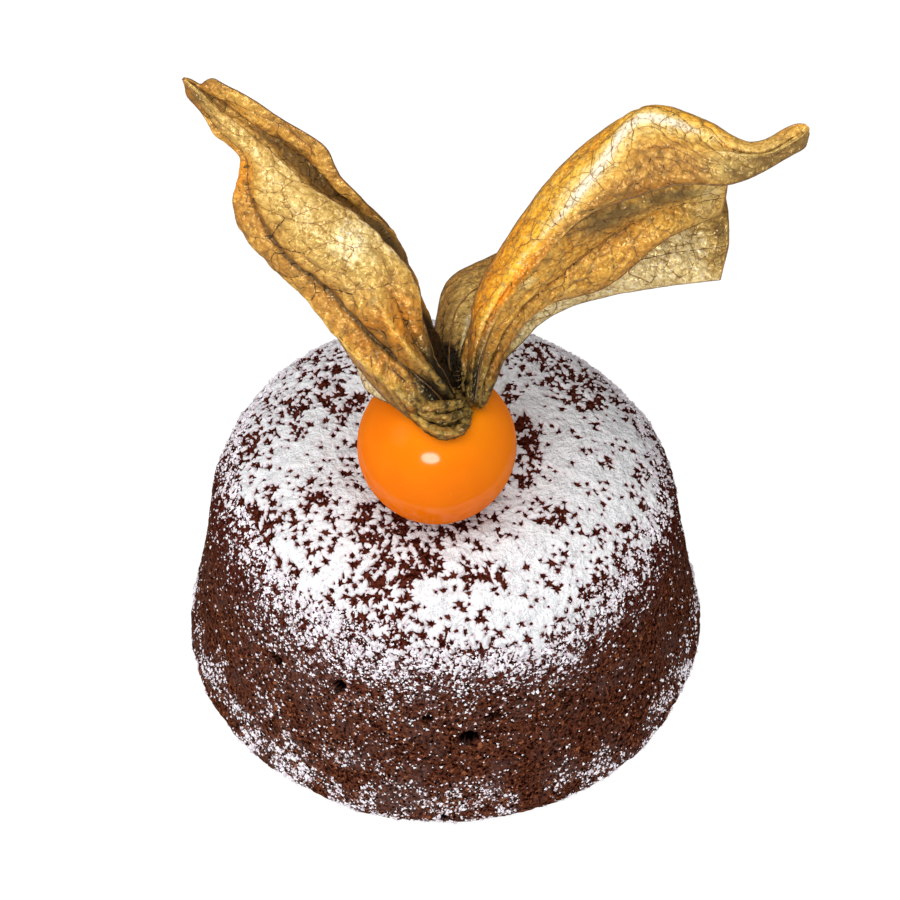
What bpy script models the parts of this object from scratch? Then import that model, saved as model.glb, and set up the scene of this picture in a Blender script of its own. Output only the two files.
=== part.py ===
"""Chocolate souffle turned out of its mould, with a cape gooseberry in its opened husk on top.

Frame: metres, +Z up, the origin in the middle of the flat base, the front towards -Y.
Three solids: the souffle, the berry that sits in a shallow dent in its top, and the husk on the
berry's stem end, with its torn papery wings turned back.
"""

import math

import bmesh
import bpy
from mathutils import Vector

MM = 0.001

# Souffle: a blunt cone, wide at the lip that baked against the mould's mouth.
SOUFFLE_HEIGHT = 36.4 * MM
BASE_RADIUS = 32.0 * MM
LIP_RADIUS = 35.0 * MM
LIP_HEIGHT = 3.2 * MM
LIP_BULGE = 0.45 * MM
LIP_BULGE_REACH = 3.5 * MM
SHOULDER_RADIUS = 31.0 * MM
SHOULDER_HEIGHT = 23.5 * MM
CROWN_RADIUS = 14.0 * MM
CROWN_SAG = 0.25 * MM
SOUFFLE_SEGMENTS = 72
LIP_STEPS = 5
FLANK_STEPS = 7
SHOULDER_STEPS = 8
CROWN_STEPS = 4

# Berry, and the gap that touching solids keep.
BERRY_RADIUS = 10.05 * MM
BERRY_CENTRE = Vector((-0.9, -8.4, 46.0)) * MM
STEM_DIRECTION = Vector((0.26, -0.18, 0.95)).normalized()
STEM_DIMPLE_DEPTH = 0.9 * MM
STEM_DIMPLE_RADIUS = 2.6 * MM
BERRY_SEGMENTS = 36
BERRY_RINGS = 18
GAP = 0.3 * MM

# Husk: a knuckle round the stem, and wings that are thin sheets spanned between rails.
STEM_POINT = BERRY_CENTRE + STEM_DIRECTION * BERRY_RADIUS
WING_THICKNESS = 0.6 * MM
KNUCKLE_CENTRE = STEM_POINT + Vector((-1.5, -0.8, 0.2)) * MM
KNUCKLE_RADIUS = 3.5 * MM
KNUCKLE_HEIGHT = 2.6 * MM

# A rail is a curve along a wing, from the stem to the wing's tip: points to the right, to the
# back and up from the stem point, in millimetres.
LEFT_WING = (
    # lower edge
    ((-2, -4, -1), (-7.5, -1.5, 1), (-13, 3, 5), (-17.5, 8, 10.5), (-24, 12, 15),
     (-27, 14, 19), (-26, 17, 26.5), (-30, 18, 30), (-32.5, 20, 34.5)),
    # crease
    ((-0.5, -2.5, 2), (-4.5, -1, 5.5), (-10, 2, 9.5), (-15.5, 5.5, 14), (-21.5, 9, 18),
     (-25, 13.5, 22.5), (-25.5, 16, 27), (-29, 17.5, 30.5), (-32.5, 20, 35)),
    # fold
    ((0, -1.5, 2), (-2.5, 0.5, 6.5), (-4, 3, 11), (-5.5, 6.5, 16), (-11, 10.5, 21),
     (-18, 13, 24.5), (-23, 16, 28), (-27, 17.5, 31), (-32.5, 20, 35)),
    # valley behind the fold
    ((0, -0.5, 1.5), (-2, 2.5, 5.5), (-4.5, 5.5, 9.5), (-7, 9, 14.5), (-11, 14.5, 19.5),
     (-15.5, 16, 23.5), (-20, 17.5, 27), (-26, 19, 31), (-32.5, 20, 35)),
    # upper edge
    ((0, 0.5, 0.5), (-2.5, 4, 4), (-4.5, 8, 8), (-7, 11.5, 12.5), (-8.5, 13.5, 17.5),
     (-13, 14, 23.5), (-18, 17, 28.5), (-24.5, 19.5, 33), (-32, 20.5, 35.5)),
)
RIGHT_WING = (
    # upper edge
    ((1, 1, -0.5), (1.5, 5, 4.5), (2.5, 10, 9.5), (6.5, 15, 14.5), (12, 19.5, 20.5),
     (18, 23, 24.5), (24, 24, 27.5), (30, 21.5, 27.5), (35.5, 18, 27), (42, 18.5, 30)),
    # fold that catches the light
    ((1.5, -0.5, 1), (2, 3, 6.5), (4, 6, 11.5), (8, 9, 16.5), (13, 12.5, 20.5),
     (17.5, 15.5, 24.5), (22, 20, 28), (29, 18, 27.5), (36, 16, 26.5), (42.5, 18, 29.5)),
    # lower edge
    ((2, -0.5, 1), (3, 3, 6), (5.5, 6.5, 11), (10, 9.5, 16), (15.5, 12.5, 20),
     (21.5, 13.5, 22.5), (27, 14, 24), (33, 13.5, 24.5), (38.5, 15, 26.5), (42.5, 17.5, 29)),
)
RIGHT_LOWER_PANEL = (
    # seam with the right wing, then hidden behind it
    ((2, -0.5, 1), (2.5, 3, 6), (5, 6.5, 11), (9.5, 9.5, 16), (14.5, 13, 20),
     (24.5, 17, 21), (33, 18, 21)),
    # crease
    ((3, 0, 1), (4.5, 4.5, 5), (8, 8.5, 8.5), (13, 12, 11), (18.5, 15, 14),
     (25.5, 17, 17), (33, 18.5, 17.5)),
    # lower edge
    ((4, 1, 1), (5.5, 4.5, 2.5), (7.5, 8.5, 4.5), (11.5, 11.5, 6), (18.5, 12.5, 8),
     (25.5, 14.5, 14), (32.5, 18, 15)),
)
BACK_WING = (
    # upper edge
    ((-1, 1, 0), (-2.5, 7.5, 1), (-2.5, 12.5, 2.5), (-1, 17, 4.5),
     (4, 19.5, 6), (13, 22.5, 8.5), (23, 24.5, 11.5), (33.5, 25.5, 12.5)),
    # upper rib
    ((-0.5, 1, 0.5), (-1, 6.5, 2.5), (0, 11.5, 5), (4, 15, 6.5),
     (10.5, 17.5, 7.5), (18, 20, 8.5), (25.5, 22, 10), (34, 23, 10.5)),
    # lower rib
    ((0.5, 1, 0.5), (2, 6.5, 2.5), (4, 10.5, 3.5), (8, 13.5, 4),
     (13, 15.5, 5), (19, 17.5, 6), (26, 18.5, 7.5), (34, 19.5, 8)),
    # lower edge
    ((1.5, 1, 0), (5, 6, 0.5), (8, 10, 0.5), (10.5, 13, 1),
     (14.5, 15.5, 1.5), (20, 16.5, 2.5), (26.5, 16.5, 4), (33, 16.5, 5)),
)
TORN_FLAP = (
    ((-2, -1, 1), (-6.5, 2, 1), (-10.5, 6, 1.5), (-12, 8, 2)),
    ((-2.5, -2.5, 0.5), (-7, -0.5, 0), (-11, 3, -1), (-12.5, 6, 0)),
)
WINGS = {
    "left": LEFT_WING,
    "right": RIGHT_WING,
    "right_lower": RIGHT_LOWER_PANEL,
    "back": BACK_WING,
    "flap": TORN_FLAP,
}
STEPS_PER_STATION = 3
STEPS_PER_RAIL = 3


def clear_scene():
    for thing in list(bpy.data.objects):
        bpy.data.objects.remove(thing)


def material(name, colour, roughness):
    made = bpy.data.materials.new(name)
    made.use_nodes = True
    shader = made.node_tree.nodes["Principled BSDF"]
    shader.inputs["Base Color"].default_value = (*colour, 1.0)
    shader.inputs["Roughness"].default_value = roughness
    shader.inputs["Metallic"].default_value = 0.0
    return made


def add_object(name, mesh, finish, smooth=True):
    made = bpy.data.objects.new(name, mesh)
    bpy.context.scene.collection.objects.link(made)
    mesh.materials.append(finish)
    if smooth:
        mesh.shade_smooth()
        mesh.set_sharp_from_angle(angle=math.radians(40))
    return made


def as_guide(thing):
    """Marks an object that only cuts or joins another one."""
    thing.hide_render = True
    thing.display_type = "WIRE"


def combine(thing, other, operation):
    as_guide(other)
    step = thing.modifiers.new(operation.lower() + "_" + other.name, "BOOLEAN")
    step.object = other
    step.operation = operation


def souffle_profile():
    """(radius, height) pairs from the base's edge to the middle of the top."""
    points = []
    for i in range(LIP_STEPS + 1):
        turn = 0.5 * math.pi * i / LIP_STEPS
        radius = BASE_RADIUS + (LIP_RADIUS - BASE_RADIUS) * math.sin(turn)
        points.append((radius, LIP_HEIGHT * (1 - math.cos(turn))))
    for i in range(1, FLANK_STEPS + 1):
        share = i / FLANK_STEPS
        height = LIP_HEIGHT + (SHOULDER_HEIGHT - LIP_HEIGHT) * share
        radius = LIP_RADIUS + (SHOULDER_RADIUS - LIP_RADIUS) * share
        waist = LIP_BULGE * (1 - math.exp(-(height - LIP_HEIGHT) / LIP_BULGE_REACH))
        points.append((radius - waist * (1 - share), height))
    for i in range(1, SHOULDER_STEPS + 1):
        turn = 0.5 * math.pi * i / SHOULDER_STEPS
        radius = CROWN_RADIUS + (SHOULDER_RADIUS - CROWN_RADIUS) * math.cos(turn)
        points.append((radius, SHOULDER_HEIGHT + (SOUFFLE_HEIGHT - SHOULDER_HEIGHT) * math.sin(turn)))
    for i in range(1, CROWN_STEPS):
        share = i / CROWN_STEPS
        points.append((CROWN_RADIUS * (1 - share), SOUFFLE_HEIGHT - CROWN_SAG * share**2))
    return points


def baked_unevenness(angle, height):
    """How much wider than round the crumb is here, as a share of its radius."""
    up = height / SOUFFLE_HEIGHT
    skewed_crown = -0.02 * up * up * math.cos(2 * (angle - math.radians(50)))
    leaning_lip = 0.006 * (1 - up) * math.cos(angle + math.radians(55))
    return skewed_crown + leaning_lip + 0.0025 * math.sin(7 * angle + 1.3 + 3 * up)


def make_souffle():
    shape = bmesh.new()
    rings = []
    for radius, height in souffle_profile():
        ring = []
        for i in range(SOUFFLE_SEGMENTS):
            angle = math.tau * i / SOUFFLE_SEGMENTS
            wide = radius * (1 + baked_unevenness(angle, height))
            ring.append(shape.verts.new((wide * math.cos(angle), wide * math.sin(angle), height)))
        rings.append(ring)
    for low, high in zip(rings, rings[1:]):
        for i in range(SOUFFLE_SEGMENTS):
            j = (i + 1) % SOUFFLE_SEGMENTS
            shape.faces.new((low[i], low[j], high[j], high[i]))
    shape.faces.new(reversed(rings[0]))
    middle = shape.verts.new((0, 0, SOUFFLE_HEIGHT - CROWN_SAG))
    for i in range(SOUFFLE_SEGMENTS):
        shape.faces.new((rings[-1][i], rings[-1][(i + 1) % SOUFFLE_SEGMENTS], middle))
    mesh = bpy.data.meshes.new("souffle")
    shape.to_mesh(mesh)
    shape.free()
    crumb = material("chocolate_crumb", (0.085, 0.032, 0.017), 0.85)
    return add_object("souffle", mesh, crumb)


def ball(name, radius, finish, dimple=False):
    """A sphere on the berry's centre with its pole on the stem, dimpled there if asked."""
    shape = bmesh.new()
    bmesh.ops.create_uvsphere(
        shape, u_segments=BERRY_SEGMENTS, v_segments=BERRY_RINGS, radius=radius
    )
    if dimple:
        for vertex in shape.verts:
            off_axis = math.hypot(vertex.co.x, vertex.co.y) / STEM_DIMPLE_RADIUS
            if vertex.co.z > 0:
                vertex.co.z -= STEM_DIMPLE_DEPTH * math.exp(-off_axis * off_axis)
    mesh = bpy.data.meshes.new(name)
    shape.to_mesh(mesh)
    shape.free()
    made = add_object(name, mesh, finish)
    made.location = BERRY_CENTRE
    made.rotation_mode = "QUATERNION"
    made.rotation_quaternion = STEM_DIRECTION.to_track_quat("Z", "Y")
    return made


def on_curve(points, share):
    """The point at this share of a smooth curve through evenly numbered points."""
    spans = len(points) - 1
    at = min(max(share, 0.0), 1.0) * spans
    i = min(int(at), spans - 1)
    t = at - i
    b, c = Vector(points[i]), Vector(points[i + 1])
    a = Vector(points[i - 1]) if i > 0 else 2 * b - c
    d = Vector(points[i + 2]) if i + 2 <= spans else 2 * c - b
    return 0.5 * (
        2 * b + (c - a) * t + (2 * a - 5 * b + 4 * c - d) * t * t + (3 * b - a - 3 * c + d) * t**3
    )


def wing_grid(rails):
    """Rows of points over a wing: each row crosses it from its first rail to its last."""
    along = (len(rails[0]) - 1) * STEPS_PER_STATION
    aside = (len(rails) - 1) * STEPS_PER_RAIL
    rows = []
    for j in range(along + 1):
        station = [on_curve(rail, j / along) for rail in rails]
        rows.append([on_curve(station, i / aside) for i in range(aside + 1)])
    return rows


def facing(rows, j, i):
    """The sheet's normal at row j, column i, of unit length."""
    along = rows[min(j + 1, len(rows) - 1)][i] - rows[max(j - 1, 0)][i]
    aside = rows[j][min(i + 1, len(rows[j]) - 1)] - rows[j][max(i - 1, 0)]
    return along.cross(aside).normalized()


def make_wing(name, rails, finish):
    rows = wing_grid(rails)
    shape = bmesh.new()
    sides = []
    for side in (0.5, -0.5):
        sheet = []
        for j, row in enumerate(rows):
            for i, point in enumerate(row):
                lift = facing(rows, j, i) * (side * WING_THICKNESS / MM)
                sheet.append(shape.verts.new(STEM_POINT + (point + lift) * MM))
        sides.append(sheet)
    wide = len(rows[0])
    for j in range(len(rows) - 1):
        for i in range(wide - 1):
            corners = (j * wide + i, j * wide + i + 1, (j + 1) * wide + i + 1, (j + 1) * wide + i)
            shape.faces.new([sides[0][k] for k in reversed(corners)])
            shape.faces.new([sides[1][k] for k in corners])
    last = (len(rows) - 1) * wide
    rim = list(range(wide))
    rim += [j * wide + wide - 1 for j in range(1, len(rows))]
    rim += [last + i for i in range(wide - 2, -1, -1)]
    rim += [j * wide for j in range(len(rows) - 2, 0, -1)]
    for a, b in zip(rim, rim[1:] + rim[:1]):
        shape.faces.new((sides[0][a], sides[0][b], sides[1][b], sides[1][a]))
    bmesh.ops.recalc_face_normals(shape, faces=shape.faces)
    mesh = bpy.data.meshes.new(name)
    shape.to_mesh(mesh)
    shape.free()
    return add_object(name, mesh, finish)


def make_knuckle(finish):
    """The husk's gathered base: a squat dome on the stem."""
    shape = bmesh.new()
    bmesh.ops.create_uvsphere(shape, u_segments=20, v_segments=10, radius=KNUCKLE_RADIUS)
    for vertex in shape.verts:
        vertex.co.z *= KNUCKLE_HEIGHT / KNUCKLE_RADIUS
    mesh = bpy.data.meshes.new("physalis_husk")
    shape.to_mesh(mesh)
    shape.free()
    made = add_object("physalis_husk", mesh, finish)
    made.location = KNUCKLE_CENTRE
    made.rotation_mode = "QUATERNION"
    made.rotation_quaternion = STEM_DIRECTION.to_track_quat("Z", "Y")
    return made


def main():
    clear_scene()
    skin = material("berry_skin", (0.83, 0.20, 0.008), 0.25)
    paper = material("husk_paper", (0.42, 0.25, 0.06), 0.5)
    souffle = make_souffle()
    ball("physalis_berry", BERRY_RADIUS, skin, dimple=True)
    clearance = ball("berry_clearance", BERRY_RADIUS + GAP, skin)
    combine(souffle, clearance, "DIFFERENCE")
    husk = make_knuckle(paper)
    for name, rails in WINGS.items():
        combine(husk, make_wing(name + "_wing", rails, paper), "UNION")
    combine(husk, clearance, "DIFFERENCE")


main()
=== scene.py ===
"""Looks of the chocolate souffle with a cape gooseberry: crumb, icing sugar, berry and husk.

Shapes are worked out in millimetres of the part's frame and scaled when their mesh is made.
The souffle's profile, the berry's place and the husk's rails repeat the part's source, apart
from the left wing's tip, which is drawn out a little farther here.
"""

import itertools
import math

import bpy
import numpy as np
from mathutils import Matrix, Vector
from mathutils.geometry import delaunay_2d_cdt


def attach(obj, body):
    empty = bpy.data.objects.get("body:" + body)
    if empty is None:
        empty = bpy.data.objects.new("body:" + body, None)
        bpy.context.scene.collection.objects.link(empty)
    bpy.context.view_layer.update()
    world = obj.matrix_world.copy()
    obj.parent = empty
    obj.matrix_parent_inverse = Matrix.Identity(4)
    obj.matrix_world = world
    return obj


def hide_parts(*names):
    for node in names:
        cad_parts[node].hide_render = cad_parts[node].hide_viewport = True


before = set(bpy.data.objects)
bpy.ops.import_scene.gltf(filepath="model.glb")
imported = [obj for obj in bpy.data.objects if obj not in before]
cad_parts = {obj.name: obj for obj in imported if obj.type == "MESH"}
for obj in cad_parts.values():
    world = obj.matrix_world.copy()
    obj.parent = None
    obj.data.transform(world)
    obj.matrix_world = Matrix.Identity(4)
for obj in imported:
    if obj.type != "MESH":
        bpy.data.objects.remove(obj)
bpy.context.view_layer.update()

MM = 0.001

# Honeycombs: distance between rows, and how far a cell's middle may move, as shares of its size.
ROW_PITCH = 0.866
JITTER = 0.33
# Any direction that no tube follows.
ANY_WAY = (0.31, 0.77, 0.55)

# Souffle's profile, as in the part's source.
HEIGHT = 36.4
BASE_RADIUS = 32.0
LIP_RADIUS = 35.0
LIP_HEIGHT = 3.2
LIP_BULGE = 0.45
LIP_BULGE_REACH = 3.5
SHOULDER_RADIUS = 31.0
SHOULDER_HEIGHT = 23.5
CROWN_RADIUS = 14.0
CROWN_SAG = 0.25

# Berry and stem, as in the part's source.
BERRY_RADIUS = 10.05
BERRY_CENTRE = np.array((-0.9, -8.4, 46.0))
STEM_DIRECTION = np.array((0.26, -0.18, 0.95)) / np.linalg.norm((0.26, -0.18, 0.95))
STEM_POINT = BERRY_CENTRE + STEM_DIRECTION * BERRY_RADIUS
STEM_DIMPLE_DEPTH = 0.9
STEM_DIMPLE_RADIUS = 2.6
BERRY_HOLLOW_RADIUS = BERRY_RADIUS + 0.12
BERRY_GRID = (90, 144)

# Crumb: mesh steps on the side and on the crown, and the bubbles on its side,
# whose insides the material paints black as painted shade.
CRUMB_SEGMENTS = 576
FLANK_STEP = 0.27
CROWN_STEP = 0.62
FLANK_TOP = 31.0
BUBBLES = (
    # angle in degrees, distance up the side, radius across, radius upwards, depth
    (-134, 22.5, 1.0, 0.65, 1.5),
    (-115.5, 24.0, 0.8, 1.05, 1.6),
    (-94, 21.4, 0.75, 0.55, 1.2),
    (-79, 21.4, 1.15, 0.6, 1.5),
    (-84.5, 18.2, 1.2, 1.0, 2.0),
    (-45.5, 19.5, 0.6, 0.35, 0.8),
    (-14, 18.0, 0.9, 0.6, 0.8),
    (-90, 4.6, 0.6, 0.7, 1.0),
    (24, 20.5, 0.8, 0.5, 1.3),
    (61, 16.0, 0.6, 0.45, 1.1),
    (83, 23.0, 0.5, 0.7, 1.3),
    (118, 19.0, 0.9, 0.6, 1.6),
    (141, 12.5, 0.5, 0.4, 0.9),
    (163, 21.5, 0.7, 0.45, 1.2),
)

# Icing sugar on the crown: clumps that cover it and thin out at the rim, with star-shaped gaps
# on a jittered honeycomb between them.
SUGAR_STEP = 0.172
SUGAR_REACH = 36.81
SUGAR_EDGE = 0.10
SUGAR_SEED = 5
MOST_COVER = 0.995
LEAST_COVER = 0.14
CLUMP_RADII = (0.20, 0.48)
CLUMP_HEIGHTS = (0.02, 0.09)
CLUMP_WINDOW = 0.62
GAP_SPACING = 1.20
GAP_SHARE_FULL = 0.33
GAP_SIZE = (0.38, 0.98)
GAP_ARM = 0.31
GAP_ARMS = 8
GAP_ARM_LENGTHS = (0.5, 1.6)
MOST_GAPS = 0.43
SUGAR_RIM = (
    # angle in degrees, how far up the side the crown's sugar reaches down
    (-180, 33.6), (-160, 34.5), (-140, 32.9), (-120, 32.2), (-100, 30.8), (-80, 30.6), (-60, 29.2),
    (-40, 32.2), (-20, 33.0), (0, 33.7), (30, 33.0), (90, 31.3), (140, 32.8), (180, 33.6),
)
# Places with more gaps: right, back, radius, how much barer.
BARE_PATCHES = (
    (-25, 12, 2.5, 0.4), (-19, 8, 2.6, 0.5), (-15.5, 13, 3.0, 0.36), (-13, 7, 2.4, 0.4),
    (-29, 4, 3.0, 0.42), (-25, 2, 3.0, 0.36), (-17, 21, 5.5, 0.34), (-16.5, -7.5, 2.0, 0.5),
    (-25, -9, 2.6, 0.34), (-8.5, -12.5, 3.0, 0.52), (-6, -16.5, 3.4, 0.5), (-12.5, -15, 2.8, 0.26),
    (-2, -18.5, 2.6, 0.46), (-8, -21.5, 4.0, 0.3), (4.5, -21, 2.2, 0.36),
    (1, -14, 2.4, 0.3), (8, -12.5, 2.0, 0.26), (14, -11.5, 1.8, 0.46), (17.5, -14.5, 1.6, 0.34),
    (-7, -27, 2.6, 0.26), (-13, -26, 2.4, 0.12), (24, 2, 1.6, 0.36), (26, -2, 1.6, 0.42),
    (19, 9, 2.3, 0.5), (15, 13, 3.2, 0.46), (22, 14, 4.5, 0.46), (27, 11, 3.0, 0.42),
    (12, 20, 5.0, 0.48), (23, 19, 5.0, 0.5), (24, -15, 3.2, 0.46), (21.5, -19.5, 3.2, 0.5),
    (18, -25, 3.0, 0.34), (10.5, 4, 1.8, 0.6), (10.6, -2, 1.6, 0.7),
    (11.0, 1, 1.6, 0.7), (10, -6, 1.2, 0.5), (-3, 24, 6.0, 0.28),
)

# Loose sugar on the side: most of it below the rim and at the foot, and thickest at the near left.
GRAIN_TRIES = 170000
GRAIN_BAND = (2.5, 35.5)
GRAIN_SEED = 8
MOST_GRAINS = 33000
NEAR_LEFT = math.radians(-128)
NEAR_LEFT_WIDTH = math.radians(26)

# Husk rails: points to the right, to the back and up from the stem point, from the stem to the
# wing's tip.
LEFT_WING = (
    # lower edge
    ((-2, -4, -1), (-7.5, -1.5, 1), (-13, 3, 5), (-17.5, 8, 10.5), (-24, 12, 15),
     (-27, 14, 19), (-26, 16.5, 26.5), (-30, 18.2, 29.8), (-32.8, 20, 35.6)),
    # crease
    ((-0.5, -2.5, 2), (-4.5, -1, 5.5), (-10, 2, 9.5), (-15.5, 5.5, 14), (-21.5, 9, 18),
     (-25, 13.5, 22.5), (-25.5, 16, 27), (-29, 17.5, 30.5), (-32.7, 20, 35.6)),
    # fold
    ((0, -1.5, 2), (-2.5, 0.5, 6.5), (-4, 3, 11), (-5.5, 6.5, 16), (-11, 10.5, 21),
     (-18, 13, 24.5), (-23, 16, 28), (-27, 17.5, 31), (-32.6, 20, 35.7)),
    # valley behind the fold
    ((0, -0.5, 1.5), (-2, 2.5, 5.5), (-4.5, 5.5, 9.5), (-7, 9, 14.5), (-11, 14.5, 19.5),
     (-15.5, 16, 23.5), (-20, 17.5, 27), (-26, 19, 31), (-32.6, 20, 35.8)),
    # upper edge
    ((0, 0.5, 0.5), (-2.5, 4, 4), (-4.5, 8, 8), (-7, 11.5, 12.5), (-8.5, 13.5, 17.5),
     (-13, 14, 23.5), (-17.8, 16.5, 29.5), (-26.5, 19, 34.8), (-32.6, 20, 35.9)),
)
RIGHT_WING = (
    # upper edge
    ((1, 1, -0.5), (1.5, 5, 4.5), (2.5, 10, 9.5), (6.5, 15, 14.5), (12, 19.5, 20.5),
     (18, 23, 24.5), (24, 24, 27.5), (30, 21.5, 27.5), (35.5, 18, 27), (42, 18.5, 30)),
    # fold that catches the light
    ((1.5, -0.5, 1), (2, 3, 6.5), (4, 6, 11.5), (8, 9, 16.5), (13, 12.5, 20.5),
     (17.5, 15.5, 24.5), (22, 20, 28), (29, 18, 27.5), (36, 16, 26.5), (42.5, 18, 29.5)),
    # lower edge
    ((2, -0.5, 1), (3, 3, 6), (5.5, 6.5, 11), (10, 9.5, 16), (15.5, 12.5, 20),
     (21.5, 13.5, 22.5), (27, 14, 24), (33, 13.5, 24.5), (38.5, 15, 26.5), (42.5, 17.5, 29)),
)
RIGHT_LOWER_PANEL = (
    # seam with the right wing, then hidden behind it
    ((2, -0.5, 1), (2.5, 3, 6), (5, 6.5, 11), (9.5, 9.5, 16), (14.5, 13, 20),
     (24.5, 17, 21), (33, 18, 21)),
    # crease
    ((3, 0, 1), (4.5, 4.5, 5), (8, 8.5, 8.5), (13, 12, 11), (18.5, 15, 14),
     (25.5, 17, 17), (33, 18.5, 17.5)),
    # lower edge
    ((4, 1, 1), (5.5, 4.5, 2.5), (7.5, 8.5, 4.5), (11.5, 11.5, 6), (18.5, 12.5, 8),
     (25.5, 14.5, 14), (32.5, 18, 15)),
)
BACK_WING = (
    # upper edge
    ((-1, 1, 0), (-2.5, 7.5, 1), (-2.5, 12.5, 2.5), (-1, 17, 4.5),
     (4, 19.5, 6), (13, 22.5, 8.5), (23, 24.5, 11.5), (33.5, 25.5, 12.5)),
    # upper rib
    ((-0.5, 1, 0.5), (-1, 6.5, 2.5), (0, 11.5, 5), (4, 15, 6.5),
     (10.5, 17.5, 7.5), (18, 20, 8.5), (25.5, 22, 10), (34, 23, 10.5)),
    # lower rib
    ((0.5, 1, 0.5), (2, 6.5, 2.5), (4, 10.5, 3.5), (8, 13.5, 4),
     (13, 15.5, 5), (19, 17.5, 6), (26, 18.5, 7.5), (34, 19.5, 8)),
    # lower edge
    ((1.5, 1, 0), (5, 6, 0.5), (8, 10, 0.5), (10.5, 13, 1),
     (14.5, 15.5, 1.5), (20, 16.5, 2.5), (26.5, 16.5, 4), (33, 16.5, 5)),
)
TORN_FLAP = (
    ((-2, -1, 1), (-6.5, 2, 1), (-10.5, 6, 1.5), (-12, 8, 2)),
    ((-2.5, -2.5, 0.5), (-7, -0.5, 0), (-11, 3, -1), (-12.5, 6, 0)),
)
SHEET_STEP = 0.28
SHEET_THICKNESS = 0.16
VEIN_RADIUS = 0.124
VEIN_STEP = 0.4
NET_RADIUS = 0.107
NET_STEP = 0.9
HEM_RADIUS = 0.12
FRONT = np.array((0.0, -0.64, 0.77))
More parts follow.
